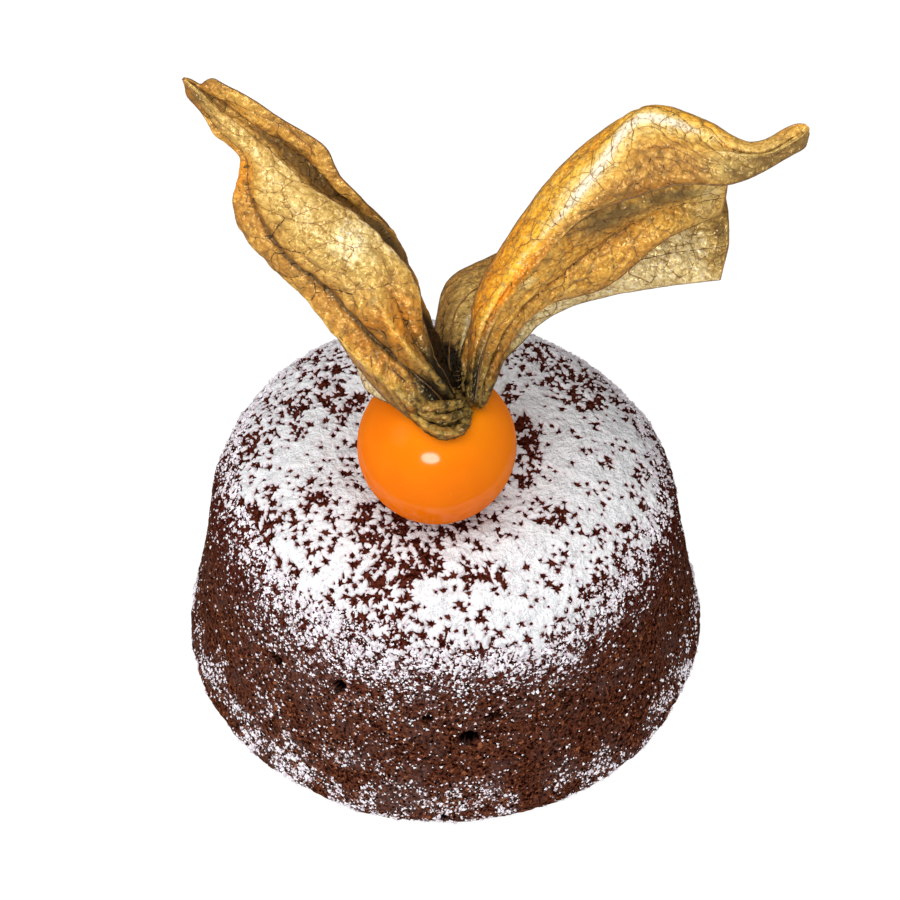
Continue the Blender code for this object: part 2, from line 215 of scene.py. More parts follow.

# How each wing is finished. Between one rail and the next lies a panel, and bulge is how far the
# panel's middle stands out to the front. pale and warm give the colour, from 0 to 1, at the first
# rail, in the first panel's middle, at the second rail and so on; pale holds the paper's own tone
# and also painted highlights on folds that catch the light and painted shade on faces turned away.
# spots change them round a place: share of the length, rail, radius, paler, warmer; below 0, pale
# turns the paper black, as painted shade near the wings' feet and where one wing lies over another.
# streaks change them along a line: its two ends, as for folds, half width, paler, warmer. ribs are
# radii, one to a rail. folds run from one place to another, as shares of the length and of the
# rails, with a height and a half width. edges push an edge outwards: share of the length, which
# edge (0 the first rail, -1 the last), how far, half width. cells are the sizes of the main and
# the fine veins' cells, crumple the strength of the unevenness, round the tip's radius, and sink
# how far the wing's foot lies behind the gathers.
PLAIN_WING = dict(round=0.0, sink=0.0, spots=(), streaks=(), edges=())
WINGS = (
    dict(name="left", rails=LEFT_WING, cells=(5.0, 1.9), seed=101, crumple=0.75, sink=1.6,
         bulge=(1.2, 1.9, -0.9, 1.0),
         pale=(0.12, 0.2, 0.2, 0.57, 0.52, -0.2, -0.14, 0.27, 0.2),
         warm=(0.45, 0.45, 0.35, 0.1, 0.2, 0.05, 0.1, 0.5, 0.3),
         spots=((0.48, 1.75, 2.2, 0.4, -0.2), (0.28, 1.6, 4.5, -0.52, 0.6),
                (0.62, 1.15, 1.8, 0.35, 0.1), (0.71, 0.4, 3.0, -0.05, 0.45),
                (0.86, 2.5, 3.8, 0.2, 0.1), (0.95, 1.0, 3.0, -0.15, -0.1),
                (0.03, 2.0, 4.0, -0.35, -0.1), (0.04, 3.9, 2.0, -1.3, 0.0),
                (0.13, 4.0, 1.5, -1.2, 0.0), (0.22, 4.0, 1.2, -0.8, 0.0),
                (0.42, 3.6, 4.0, -0.32, -0.2), (0.14, 2.6, 4.3, -1.25, -0.3),
                (0.16, 0.95, 3.0, 0.5, 0.3), (0.02, 1.5, 5.0, -0.35, 0.0)),
         streaks=((0.02, 0.25, 0.62, 0.25, 0.45, -0.45, 0.0),
                  (0.03, 0.37, 0.3, 0.36, 0.5, 0.25, 0.2), (0.0, 0.16, 0.35, 0.12, 0.6, 0.2, 0.3),
                  (0.82, 0.68, 1.0, 0.66, 1.3, 0.4, 0.1), (0.8, 0.36, 1.0, 0.38, 1.2, -0.38, 0.0)),
         ribs=(0.12, 0.15, 0.12, 0.0, 0.13),
         folds=((0.02, 0.25, 0.66, 0.25, -0.42, 0.28), (0.0, 0.13, 0.46, 0.12, 0.6, 0.9),
                (0.04, 0.37, 0.38, 0.37, 0.6, 0.7), (0.04, 0.45, 0.4, 0.42, -0.8, 0.5),
                (0.14, 0.42, 0.5, 0.34, -0.4, 0.7)),
         edges=((0.955, -1, -0.7, 0.9), (0.905, -1, 0.7, 1.3), (0.8, -1, -0.4, 1.2),
                (0.73, -1, 0.8, 1.5), (0.66, -1, -0.3, 0.8), (0.61, -1, 0.6, 1.3),
                (0.95, 0, 0.6, 1.3), (0.87, 0, -0.9, 1.8))),
    dict(name="right", rails=RIGHT_WING, cells=(3.8, 1.7), seed=102, crumple=0.3, round=1.5,
         bulge=(0.8, 1.2), pale=(0.4, 0.5, 0.62, 0.17, 0.12), warm=(1.0, 1.0, 0.85, 0.3, 0.4),
         spots=((0.28, 0.6, 6.0, -0.2, 0.9), (0.92, 1.0, 5.0, 0.0, -0.8),
                (0.78, 1.7, 3.0, 0.15, -0.2), (0.04, 0.6, 5.5, -0.75, -0.3),
                (0.15, 0.4, 3.0, -0.25, 0.0)),
         streaks=((0.82, 0.38, 0.4, 0.5, 1.3, 1.25, -0.9), (0.48, 0.5, 0.12, 0.56, 0.45, 0.8, -0.4),
                  (0.55, 0.9, 0.1, 0.8, 0.35, 0.7, -0.4)),
         ribs=(0.12, 0.0, 0.2),
         folds=((0.78, 0.4, 1.0, 0.48, -0.5, 0.5), (0.76, 0.66, 1.0, 0.68, 0.4, 0.5),
                (0.02, 0.8, 0.48, 0.84, 0.35, 0.6), (0.0, 0.62, 0.3, 0.66, -0.35, 0.5)),
         edges=((0.95, -1, 0.8, 2.5), (0.96, 0, 0.3, 2.0))),
    dict(name="right_lower", rails=RIGHT_LOWER_PANEL, cells=(3.8, 1.5), seed=103, crumple=0.35,
         bulge=(0.8, 0.9), pale=(0.35, 0.48, 0.36, 0.44, 0.25), warm=(0.5, 0.8, 0.6, 0.7, 0.45),
         spots=((0.16, 1.5, 3.0, -0.35, 0.1), (0.95, 1.5, 3.0, 0.3, -0.3),
                (0.42, 0.25, 1.3, 0.45, -0.3), (0.97, 0.5, 2.0, 0.3, -0.3)),
         streaks=((0.1, 0.55, 0.6, 0.48, 0.5, -0.35, 0.0), (0.6, 0.2, 0.98, 0.26, 2.2, -0.42, -0.9),
                  (0.76, 0.0, 0.8, 0.3, 0.4, 0.4, 0.4)),
         ribs=(0.0, 0.12, 0.12),
         folds=((0.05, 0.3, 0.5, 0.28, 0.4, 0.6), (0.1, 0.55, 0.6, 0.48, -0.35, 0.6),
                (0.0, 0.8, 0.25, 0.82, -0.5, 0.5))),
    dict(name="back", rails=BACK_WING, cells=(3.4, 1.3), seed=104, crumple=0.6,
         bulge=(0.5, 0.3, 0.5),
         pale=(0.15, 0.22, 0.25, 0.9, 0.95, 1.0, 0.85), warm=(0.3, 0.2, 0.1, 0.0, 0.0, 0.0, 0.0),
         spots=((0.03, 1.5, 6.0, -0.5, 0.0), (0.16, 2.5, 4.0, -0.3, 0.1),
                (0.98, 1.6, 1.6, -0.85, 0.0), (0.98, 2.4, 1.6, -0.85, 0.0),
                (0.09, 0.5, 2.6, -1.8, 0.0), (0.02, 0.8, 2.2, -1.8, 0.0)),
         streaks=((0.0, 0.18, 0.35, 0.16, 0.4, -0.5, 0.0), (0.0, 0.82, 0.3, 0.84, 0.4, -0.5, 0.0)),
         ribs=(0.12, 0.14, 0.13, 0.1),
         folds=((0.9, 0.1, 0.97, 0.95, -0.7, 0.8), (0.97, 0.1, 1.03, 0.95, 0.8, 0.6),
                (0.0, 0.5, 0.35, 0.48, 0.6, 0.5), (0.0, 0.18, 0.35, 0.16, -0.6, 0.5),
                (0.0, 0.82, 0.3, 0.84, -0.6, 0.5))),
    dict(name="flap", rails=TORN_FLAP, cells=(2.4, 1.0), seed=105, crumple=1.4, bulge=(0.4,),
         pale=(1.05, 1.3, 1.35), warm=(0.3, 0.4, 0.3), ribs=(0.0, 0.1),
         folds=((0.2, 0.1, 0.6, 0.9, 0.6, 0.6), (0.5, 0.0, 0.9, 0.8, -0.5, 0.6))),
)

# Husk's base: a knot round the stem, and gathers over it: points from the stem point, and radius.
KNOT_SIZE = (2.9, 2.9, 2.1)
KNOT_SHIFT = (-1.3, -0.9, 0.0)
KNOT_GRID = (60, 140)
GATHER_RINGS = 90
GATHER_SIDES = 20
HAIRS = 420
HAIR_RADIUS = 0.028
HAIR_SEED = 77
GATHERS = (
    (((-11.0, 4.3, 6.2), (-9.4, 3.1, 4.0), (-7.6, 1.3, 2.2), (-5.1, -1.6, 2.0), (-2.5, -2.4, 2.0),
      (-0.1, -1.9, 1.9), (0.7, -1.0, 1.6)), 0.9),
    (((-8.0, 2.9, 5.8), (-5.6, 1.3, 4.2), (-3.6, 0.3, 3.2), (-1.8, -0.1, 2.7),
      (-0.3, 0.0, 2.0)), 0.85),
    (((-9.2, 3.7, 0.2), (-6.8, 0.0, 1.3), (-4.3, -2.5, 1.2), (-1.9, -3.1, 1.0), (0.5, -2.5, 0.9),
      (1.2, -1.4, 1.0)), 0.72),
    (((-7.8, 0.8, 0.2), (-5.7, -2.0, 0.5), (-3.3, -4.1, 0.0), (-1.4, -4.6, -0.4), (0.4, -3.8, -0.3),
      (1.3, -1.9, 0.2), (1.1, -0.8, 0.7)), 0.7),
    (((1.5, -0.2, -0.3), (1.7, 0.6, 0.9), (2.1, 1.8, 2.8), (3.0, 3.6, 5.6)), 1.0),
    (((2.6, 0.0, -0.7), (3.0, 0.7, 0.5), (3.7, 2.0, 2.2), (5.2, 4.2, 4.8)), 0.9),
    (((0.9, 1.2, 0.6), (1.0, 2.4, 2.2), (1.0, 4.0, 4.0), (1.2, 6.0, 5.4)), 0.7),
)

# Camera and light.
CAMERA_PLACE = Vector((0, -0.2812, 0.3497))
CAMERA_LENS = 129.6
CAMERA_SENSOR = 36.0
CAMERA_DROP = math.radians(50)
CAMERA_TURN = 6 / 3240
CAMERA_LIFT = 104 / 3240
LAMPS = (
    # name, degrees to the left of the front, degrees up, distance, width, height, power,
    # seen in gloss
    ("key", 10, 28, 0.6, 0.26, 0.16, 1.55, True),
    ("overhead", -10, 78, 0.5, 0.5, 0.5, 2.25, False),
    ("left", 75, 35, 0.6, 0.3, 0.3, 1.3, False),
)
LAMP_TARGET = Vector((0, 0, 0.04))
WORLD_STRENGTH = 0.15
FLOOR_HALF = 3.0


# ---------------------------------------------------------------- numbers and meshes

def unit(vectors):
    return vectors / np.maximum(np.linalg.norm(vectors, axis=-1, keepdims=True), 1e-9)


def smoothstep(low, high, value):
    share = np.clip((value - low) / (high - low), 0, 1)
    return share * share * (3 - 2 * share)


def bell(value, half):
    """1 at 0, falling off smoothly on both sides."""
    return np.exp(-((value / half) ** 2))


def gradient_noise(points, cell, seed):
    """Smooth noise, about -1 to 1, whose bumps are this many millimetres apart."""
    chance = np.random.default_rng(seed)
    order = chance.permutation(256)
    order = np.concatenate((order, order, order))
    slopes = unit(chance.normal(size=(256, 3)))
    at = np.asarray(points, float) / cell + 64.0
    low = np.floor(at).astype(np.int64)
    part = at - low
    fade = part**3 * (part * (part * 6 - 15) + 10)
    low &= 255
    total = np.zeros(len(at))
    for corner in itertools.product((0, 1), repeat=3):
        corner = np.array(corner)
        key = order[low[:, 0] + corner[0]]
        key = order[key + low[:, 1] + corner[1]]
        key = order[key + low[:, 2] + corner[2]] & 255
        weight = np.prod(np.where(corner, fade, 1 - fade), axis=1)
        total += weight * np.einsum("ij,ij->i", slopes[key], part - corner)
    return 1.6 * total


def uneven(points, *layers):
    """Layers of smooth noise on top of each other: strength, size of the bumps and seed of each."""
    return sum(strength * gradient_noise(points, cell, seed) for strength, cell, seed in layers)


def honeycomb(rows, columns, cell):
    """Middles of a honeycomb's cells, row by row: how far across and how far away."""
    j, i = np.mgrid[:rows, :columns]
    return np.stack(((i + 0.5 * (j % 2)).ravel(), j.ravel() * ROW_PITCH)) * cell


def make_mesh(name, points, faces):
    """A mesh from points in millimetres and a list of index arrays, one row to a face."""
    mesh = bpy.data.meshes.new(name)
    corners = np.concatenate([part.ravel() for part in faces])
    sizes = np.concatenate([np.full(len(part), part.shape[1]) for part in faces])
    starts = np.concatenate(([0], np.cumsum(sizes)[:-1]))
    mesh.vertices.add(len(points))
    mesh.vertices.foreach_set("co", (np.asarray(points) * MM).ravel().astype(np.float32))
    mesh.loops.add(len(corners))
    mesh.loops.foreach_set("vertex_index", corners.astype(np.int32))
    mesh.polygons.add(len(sizes))
    mesh.polygons.foreach_set("loop_start", starts.astype(np.int32))
    mesh.update(calc_edges=True)
    mesh.validate()
    mesh.shade_smooth()
    return mesh


def put_in_scene(name, data):
    made = bpy.data.objects.new(name, data)
    bpy.context.scene.collection.objects.link(made)
    return made


def add_piece(name, mesh, finish, slot, *nodes):
    """Puts the mesh in the scene as a piece that rides on the part's body."""
    made = put_in_scene(name, mesh)
    mesh.materials.append(finish)
    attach(made, "root")
    if nodes:
        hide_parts(*nodes)
    print(name, sum(len(p.vertices) - 2 for p in mesh.polygons), "triangles")


def store(mesh, **values):
    """Keeps numbers for each vertex, by name, for the material to read."""
    for name, numbers in values.items():
        layer = mesh.attributes.new(name, "FLOAT", "POINT")
        layer.data.foreach_set("value", np.asarray(numbers, np.float32))


def grid_faces(rows, columns, wrap=False):
    """Quads between the points of a grid numbered row by row."""
    j = np.arange(rows - 1)[:, None]
    i = np.arange(columns if wrap else columns - 1)[None, :]
    k = (i + 1) % columns
    low, high = j * columns, (j + 1) * columns
    return np.stack((low + i, low + k, high + k, high + i), -1).reshape(-1, 4)


def cap_faces(ring, middle):
    """Triangles that close a ring of points to the point in its middle."""
    return np.stack((ring, np.roll(ring, -1), np.full_like(ring, middle)), -1)


def halves(quads):
    return np.vstack((quads[:, (0, 1, 2)], quads[:, (0, 2, 3)]))


def ball(rings, segments):
    """A ball of radius 1: its points, with the poles last, its quads and its poles' triangles."""
    polar = np.linspace(0, math.pi, rings + 2)[1:-1, None]
    angle = np.arange(segments)[None, :] * math.tau / segments
    points = np.stack((np.sin(polar) * np.cos(angle), np.sin(polar) * np.sin(angle),
                       np.cos(polar) + 0 * angle), -1).reshape(-1, 3)
    count, ring = len(points), np.arange(segments)
    caps = cap_faces(ring, count), cap_faces(count - 1 - ring, count + 1)
    quads = grid_faces(rings, segments, wrap=True)[:, ::-1]
    return np.vstack((points, (0, 0, 1), (0, 0, -1))), quads, np.vstack(caps)


# ---------------------------------------------------------------- materials

class Value:
    """A node's output, which sums can be written with."""

    def __init__(self, finish, socket):
        self.finish, self.socket = finish, socket

    def __add__(self, other):
        return self.finish.maths("ADD", self, other)

    def __sub__(self, other):
        return self.finish.maths("SUBTRACT", self, other)

    def __rsub__(self, other):
        return self.finish.maths("SUBTRACT", other, self)

    def __mul__(self, other):
        return self.finish.maths("MULTIPLY", self, other)

    def __abs__(self):
        return self.finish.maths("ABSOLUTE", self, 0.0)

    def steps(self, low, high):
        """0 below low, 1 above high, smooth between."""
        inputs = {"Value": self, "From Min": low, "From Max": high}
        return self.finish.node("MapRange", inputs, interpolation_type="SMOOTHSTEP")


class Finish:
    """A node material being put together."""

    def __init__(self, name):
        self.material = bpy.data.materials.new(name)
        self.material.use_nodes = True
        self.tree = self.material.node_tree
        self.shader = self.tree.nodes["Principled BSDF"]
        place = self.node("TexCoord", {}, "Object")
        self.place = self.node("VectorMath", {0: place, "Scale": 1 / MM}, operation="SCALE")

    def put(self, socket, value):
        if isinstance(value, Value):
            self.tree.links.new(value.socket, socket)
        elif socket.type == "RGBA":
            socket.default_value = (*value, 1.0)
        else:
            socket.default_value = value

    def done(self, **values):
        """Sets the shader's inputs, and gives the material."""
        for name, value in values.items():
            self.put(self.shader.inputs[name.replace("_", " ")], value)
        return self.material

    def node(self, kind, inputs, output=0, **settings):
        made = self.tree.nodes.new("ShaderNode" + kind)
        for name, value in settings.items():
            setattr(made, name, value)
        for socket, value in inputs.items():
            self.put(made.inputs[socket], value)
        return Value(self, made.outputs[output])

    def noise(self, size, detail=3.0, roughness=0.55):
        """Noise whose blotches are this many millimetres across."""
        inputs = {"Vector": self.place, "Scale": 1 / size, "Detail": detail, "Roughness": roughness}
        return self.node("TexNoise", inputs)

    def cells(self, size):
        return self.node("TexVoronoi", {"Vector": self.place, "Scale": 1 / size}, "Distance")

    def mix(self, share, first, second):
        return self.node("Mix", {0: share, 6: first, 7: second}, 2, data_type="RGBA")

    def layers(self, colour, *upper):
        """A colour with others laid over it in turn, each with its share."""
        for share, other in upper:
            colour = self.mix(share, colour, other)
        return colour

    def maths(self, operation, first, second):
        return self.node("Math", {0: first, 1: second}, operation=operation)

    def attribute(self, name):
        return self.node("Attribute", {}, "Fac", attribute_name=name)

    def bump(self, height, depth, strength=1.0):
        """Relief this many millimetres deep."""
        return self.node("Bump", {"Height": height, "Strength": strength, "Distance": depth * MM})


def crumb_finish():
    made = Finish("chocolate_crumb")
    grain = made.noise(0.50, 4.0, 0.7)
    fleck = made.noise(0.6, 3.0, 0.65)
    broad = made.noise(4.0, 3.0)
    # The pits are painted near-black as painted shade; the same mask sinks them in the bump.
    hollow = made.cells(0.80).steps(0.14, 0.28)
    baked = made.layers((0.014, 0.0024, 0.001), (grain.steps(0.41, 0.57), (0.125, 0.036, 0.018)),
                        (fleck.steps(0.58, 0.65), (0.32, 0.105, 0.042)),
                        (broad.steps(0.45, 0.72) * 0.5, (0.100, 0.052, 0.045)))
    moist = made.mix(grain.steps(0.42, 0.58), (0.024, 0.003, 0.0015), (0.115, 0.024, 0.013))
    film = made.attribute("dust") * made.noise(0.32, 2.0, 0.7).steps(0.54, 0.61)
    colour = made.layers(made.mix(hollow, (0.003, 0.0006, 0.0004), baked),
                         (made.attribute("upper"), moist),
                         (film * (1.0 - made.attribute("crown")), (0.74, 0.63, 0.64)),
                         # The bubbles' insides are painted near-black: painted shade in the holes.
                         (made.attribute("bubble"), (0.001, 0.0003, 0.0002)))
    return made.done(Roughness=0.9, Specular_IOR_Level=0.0, Base_Color=colour,
                     Normal=made.bump(hollow + (grain + fleck), 0.50))


def sugar_finish():
    made = Finish("icing_sugar")
    crease = 1.0 - abs(made.noise(0.8, 3.0, 0.65) - 0.5).steps(0.0, 0.045)
    speck = made.noise(0.3, 2.0, 0.6).steps(0.66, 0.76)
    # Grey lines in patches along the sugar's creases: painted shade.
    crease_shade = crease * made.noise(2.5, 2.0).steps(0.40, 0.60)
    colour = made.layers((0.87, 0.875, 0.89), (crease_shade * 0.75, (0.44, 0.44, 0.47)),
                         (speck * 0.6, (0.42, 0.36, 0.36)),
                         (made.attribute("thin"), (0.70, 0.56, 0.60)))
    powder = made.noise(0.35, 3.0, 0.7) + made.noise(1.1, 2.0) * 2.0
    return made.done(Roughness=0.95, Specular_IOR_Level=0.0, Base_Color=colour,
                     Normal=made.bump(powder, 0.38))


def grain_finish():
    made = Finish("sugar_grain")
    shade = made.noise(0.5, 1.0).steps(0.35, 0.65)
    colour = made.mix(shade, (0.92, 0.90, 0.93), (0.66, 0.58, 0.64))
    return made.done(Roughness=0.8, Specular_IOR_Level=0.2, Base_Color=colour)


def berry_finish():
    made = Finish("berry_skin")
    ripe, speck = made.noise(9.0, 2.0).steps(0.35, 0.7), made.noise(0.5, 2.0).steps(0.66, 0.74)
    colour = made.layers((0.74, 0.142, 0.0003), (ripe, (0.79, 0.168, 0.0004)),
                         (made.attribute("near_stem") * 0.6, (0.95, 0.32, 0.002)),
                         # Deeper red towards the bottom: painted shade on the berry's underside.
                         (made.attribute("low") * 0.75, (0.58, 0.066, 0.0003)),
                         (speck * 0.10, (0.95, 0.42, 0.05)))
    skin = made.noise(0.3, 2.0) + made.noise(1.6, 2.0) * 2.0
    return made.done(Roughness=0.5, Specular_IOR_Level=0.0, Coat_Weight=0.15, Coat_IOR=2.6,
                     Coat_Roughness=0.11, Subsurface_Weight=0.12,
                     Subsurface_Radius=(0.0020, 0.0006, 0.0001), Base_Color=colour,
                     Normal=made.bump(skin, 0.02, 0.3))


def husk_finish():
    """Dry husk: black to brown to straw by its paleness, orange where warm, olive at the stem.

    The paleness holds painted highlights and painted shade, and its black is painted shade.
    """
    made = Finish("husk_paper")
    broad, blotch = made.noise(5.0, 2.0), made.noise(1.3, 3.0, 0.65)
    crease = abs(made.noise(1.5, 3.0, 0.6) - 0.5)
    glint = abs(made.noise(1.1, 1.0) - 0.5)
    cushion = made.noise(0.95, 1.0)
    relief, toned = made.attribute("relief"), made.attribute("pale")
    # relief lightens the ridges and darkens the hollows: painted highlights and painted shade.
    pale = toned + (broad - 0.5) * 0.6 + (blotch - 0.5) * 0.7 + relief * 1.5
    warm = made.attribute("warm") * blotch.steps(0.20, 0.55)
    straw = made.layers((0.17, 0.098, 0.034), (pale.steps(0.0, 0.5), (0.545, 0.368, 0.112)),
                        (pale.steps(0.5, 1.0), (0.93, 0.72, 0.33)),
                        (pale.steps(1.1, 1.5), (1.0, 0.92, 0.70)))
    orange = made.mix(pale.steps(0.10, 0.95), (0.78, 0.235, 0.002), (1.0, 0.55, 0.05))
    orange = made.mix(pale.steps(-0.40, 0.20), (0.20, 0.080, 0.008), orange)
    brown = made.mix(warm, (0.25, 0.12, 0.020), (0.40, 0.125, 0.006))
    light = made.mix(pale.steps(0.4, 1.0), (0.96, 0.60, 0.15), (1.0, 0.92, 0.70))
    light = made.mix(warm, light, (1.0, 0.62, 0.10))
    shine = glint.steps(0.050, 0.010) * pale.steps(-0.1, 0.7)
    shine = shine * made.noise(0.8, 1.0).steps(0.42, 0.56)
    stem = (made.attribute("near_stem") + blotch * 0.7).steps(0.60, 1.20)
    patchy = made.noise(0.7, 3.0).steps(0.40, 0.62)
    mottled = made.mix(patchy, (0.030, 0.021, 0.009), (0.25, 0.155, 0.035))
    # Brown where the bump's creases and cushions sink: painted shade. The shine is painted glints.
    colour = made.layers(straw, (warm, orange), (crease.steps(0.035, 0.0) * 0.60, brown),
                         (cushion.steps(0.48, 0.34) * 0.30, brown), (shine * 0.80, light),
                         (made.attribute("vein") * 0.35, (0.34, 0.19, 0.045)),
                         # Near-black in the sheet's hollows: painted shade.
                         (relief.steps(-0.08, -0.34) * 0.75, (0.075, 0.034, 0.012)),
                         # Olive mottle at the stem, then black where the set paleness is below 0:
                         # painted shade.
                         (stem, mottled), (toned.steps(-0.05, -0.55), (0.006, 0.004, 0.003)))
    rough = made.node("MapRange", {"Value": blotch, "To Min": 0.16, "To Max": 0.42})
    return made.done(Metallic=0.10, Specular_IOR_Level=0.9, Specular_Tint=(1.0, 0.82, 0.45),
                     Roughness=rough, Base_Color=colour,
                     Normal=made.bump(crease * 0.6 + cushion, 0.54))


def vein_finish():
    made = Finish("husk_veins")
    thin = made.mix(made.noise(1.0, 2.0).steps(0.4, 0.68), (0.20, 0.09, 0.022), (0.38, 0.20, 0.055))
    # Darker with the paleness the vein carries, near-black where the paper under it is painted
    # black as painted shade.
    colour = made.mix(made.attribute("pale").steps(-0.3, 0.3), (0.035, 0.016, 0.007), thin)
    return made.done(Roughness=0.40, Base_Color=colour,
                     Normal=made.bump(made.noise(0.3, 2.0), 0.08, 0.8))


def net_finish():
    made = Finish("husk_net")
    light = made.noise(1.6, 2.0).steps(0.35, 0.65)
    colour = made.mix(light, (0.17, 0.088, 0.018), (0.32, 0.18, 0.038))
    # Near-black where the paper under the net is painted black: painted shade.
    colour = made.mix(made.attribute("pale").steps(0.0, 0.5), (0.055, 0.028, 0.009), colour)
    return made.done(Roughness=0.35, Base_Color=colour)


# ---------------------------------------------------------------- souffle

def souffle_profile():
    """Radius, height and distance up the profile, from the base's edge to the top's middle."""
    turn = np.linspace(0, 0.5 * math.pi, 40)
    share = np.linspace(0, 1, 80)[1:]
    lip = (BASE_RADIUS + (LIP_RADIUS - BASE_RADIUS) * np.sin(turn), LIP_HEIGHT * (1 - np.cos(turn)))
    height = LIP_HEIGHT + (SHOULDER_HEIGHT - LIP_HEIGHT) * share
    waist = LIP_BULGE * (1 - np.exp(-(height - LIP_HEIGHT) / LIP_BULGE_REACH)) * (1 - share)
    flank = (LIP_RADIUS + (SHOULDER_RADIUS - LIP_RADIUS) * share - waist, height)
    bend = turn[1:]
    shoulder = (CROWN_RADIUS + (SHOULDER_RADIUS - CROWN_RADIUS) * np.cos(bend),
                SHOULDER_HEIGHT + (HEIGHT - SHOULDER_HEIGHT) * np.sin(bend))
    crown = (CROWN_RADIUS * (1 - share), HEIGHT - CROWN_SAG * share**2)
    radius, height = (np.concatenate(parts) for parts in zip(lip, flank, shoulder, crown))
    length = np.concatenate(([0], np.cumsum(np.hypot(np.diff(radius), np.diff(height)))))
    return radius, height, length


PROFILE_RADIUS, PROFILE_HEIGHT, PROFILE_LENGTH = souffle_profile()
REACH = PROFILE_LENGTH[-1]


def baked_unevenness(angle, height):
    """How much wider than round the crumb is here, as a share of its radius."""
    up = height / HEIGHT
    skewed_crown = -0.02 * up * up * np.cos(2 * (angle - math.radians(50)))
    leaning_lip = 0.006 * (1 - up) * np.cos(angle + math.radians(55))
    return skewed_crown + leaning_lip + 0.0025 * np.sin(7 * angle + 1.3 + 3 * up)


def rolled(right, back):
    """Angle and distance up the profile of places on the crust, unrolled round its middle."""
    return np.arctan2(back, right), REACH - np.hypot(right, back)


def crust(right, back):
    """The smooth crust's points."""
    angle, along = rolled(right, back)
    height = np.interp(along, PROFILE_LENGTH, PROFILE_HEIGHT)
    wide = np.interp(along, PROFILE_LENGTH, PROFILE_RADIUS) * (1 + baked_unevenness(angle, height))
    return np.stack((wide * np.cos(angle), wide * np.sin(angle), height), -1)


def crust_normal(right, back, step=0.15):
    across = crust(right + step, back) - crust(right - step, back)
    away = crust(right, back + step) - crust(right, back - step)
    return unit(np.cross(across, away))


def bubble_depth(right, back):
    """How deep the side's bubbles go at each point."""
    angle, along = rolled(right, back)
    radius = np.interp(along, PROFILE_LENGTH, PROFILE_RADIUS)
    rough = 1 + uneven(np.stack((right, back, along), -1), (0.5, 0.8, 15))
    depth = np.zeros(len(angle))
    for degrees, up, wide, tall, deep in BUBBLES:
        aside = (angle - math.radians(degrees) + math.pi) % math.tau - math.pi
        off = ((aside * radius / wide) ** 2 + ((along - up) / tall) ** 2) * rough
        depth = np.maximum(depth, deep * (1 - smoothstep(0.45, 1.25, off)))
    return depth


def crumb_relief(points, right, back):
    """How far the crumb stands out of the smooth crust."""
    side = 1 - smoothstep(28, 36, rolled(right, back)[1])
    relief = uneven(points, (0.20, 7.0, 11))
    relief += uneven(points, (0.14, 2.2, 12), (0.15, 0.95, 13)) * (0.35 + 0.65 * side)
    relief -= 0.20 * smoothstep(0.35, 0.75, gradient_noise(points, 1.5, 14)) * side
    return relief - bubble_depth(right, back)


def on_crumb(right, back):
    """Points on the crumb's real surface, and the crust's normals there."""
    points = crust(right, back)
    normals = crust_normal(right, back)
    placed = points + normals * crumb_relief(points, right, back)[:, None]
    off = np.hypot(placed[:, 0] - BERRY_CENTRE[0], placed[:, 1] - BERRY_CENTRE[1])
    under = BERRY_CENTRE[2] - np.sqrt(np.maximum(BERRY_HOLLOW_RADIUS**2 - off**2, 0))
    limit = np.where(off < BERRY_HOLLOW_RADIUS, under, np.inf)
    placed[:, 2] = np.clip(np.minimum(placed[:, 2], limit), 0.0, None)
    return placed, normals


def rim_height(angle):
    """How far up the side, along the profile, the crown's sugar reaches down."""
    return np.interp(np.degrees(angle), *np.transpose(SUGAR_RIM))


def dustiness(points, right, back):
    """How thickly loose sugar lies on the side, from 0 to 1."""
    angle, along = rolled(right, back)
    rim = rim_height(angle)
    near_left = bell(angle - NEAR_LEFT, NEAR_LEFT_WIDTH)
    fade = 3.8 - 1.9 * np.cos(angle) ** 2 + 2.8 * near_left
    below_rim = np.exp(-np.clip(rim + 1.5 - along, 0, None) / fade)
    below_rim *= 1 - 0.8 * smoothstep(0.0, 3.0, along - rim)
    foot = (0.50 + 0.36 * near_left) * bell(along - 5.0, 4.5 + 2.6 * near_left)
    foot *= smoothstep(-0.40, 0.40, gradient_noise(points, 4.5, 31))
    streak = 0.60 + uneven(points, (0.7, 1.5, 32), (0.6, 0.7, 33))
    return np.clip((0.98 * below_rim + foot + 0.015) * streak, 0, 1)


def make_souffle():
    flank = np.arange(0.0, FLANK_TOP, FLANK_STEP)
    crown = np.arange(FLANK_TOP, REACH - 0.5 * CROWN_STEP, CROWN_STEP)
    reach = REACH - np.concatenate((flank, crown))
    angle = np.arange(CRUMB_SEGMENTS) * math.tau / CRUMB_SEGMENTS
    right = (reach[:, None] * np.cos(angle)).ravel()
    back = (reach[:, None] * np.sin(angle)).ravel()
    points, _ = on_crumb(right, back)
    points[:CRUMB_SEGMENTS, 2] = 0.0
    top, bottom = points[-CRUMB_SEGMENTS:].mean(axis=0), (0.0, 0.0, 0.0)
    count, ring = len(points), np.arange(CRUMB_SEGMENTS)
    faces = [grid_faces(len(reach), CRUMB_SEGMENTS, wrap=True),
             cap_faces(count - CRUMB_SEGMENTS + ring, count), cap_faces(ring[::-1], count + 1)]
    mesh = make_mesh("souffle_crumb", np.vstack((points, top, bottom)), faces)
    along = rolled(right, back)[1]
    store(mesh, dust=np.append(dustiness(crust(right, back), right, back), (0, 0)),
          bubble=np.append(smoothstep(0.12, 0.26, bubble_depth(right, back)), (0, 0)),
          crown=np.append(smoothstep(28, 34, along), (1, 0)),
          upper=np.append(smoothstep(22, 31, along), (1, 0)))
    add_piece("souffle_crumb", mesh, crumb_finish(), "crumb", "souffle")


# ---------------------------------------------------------------- icing sugar

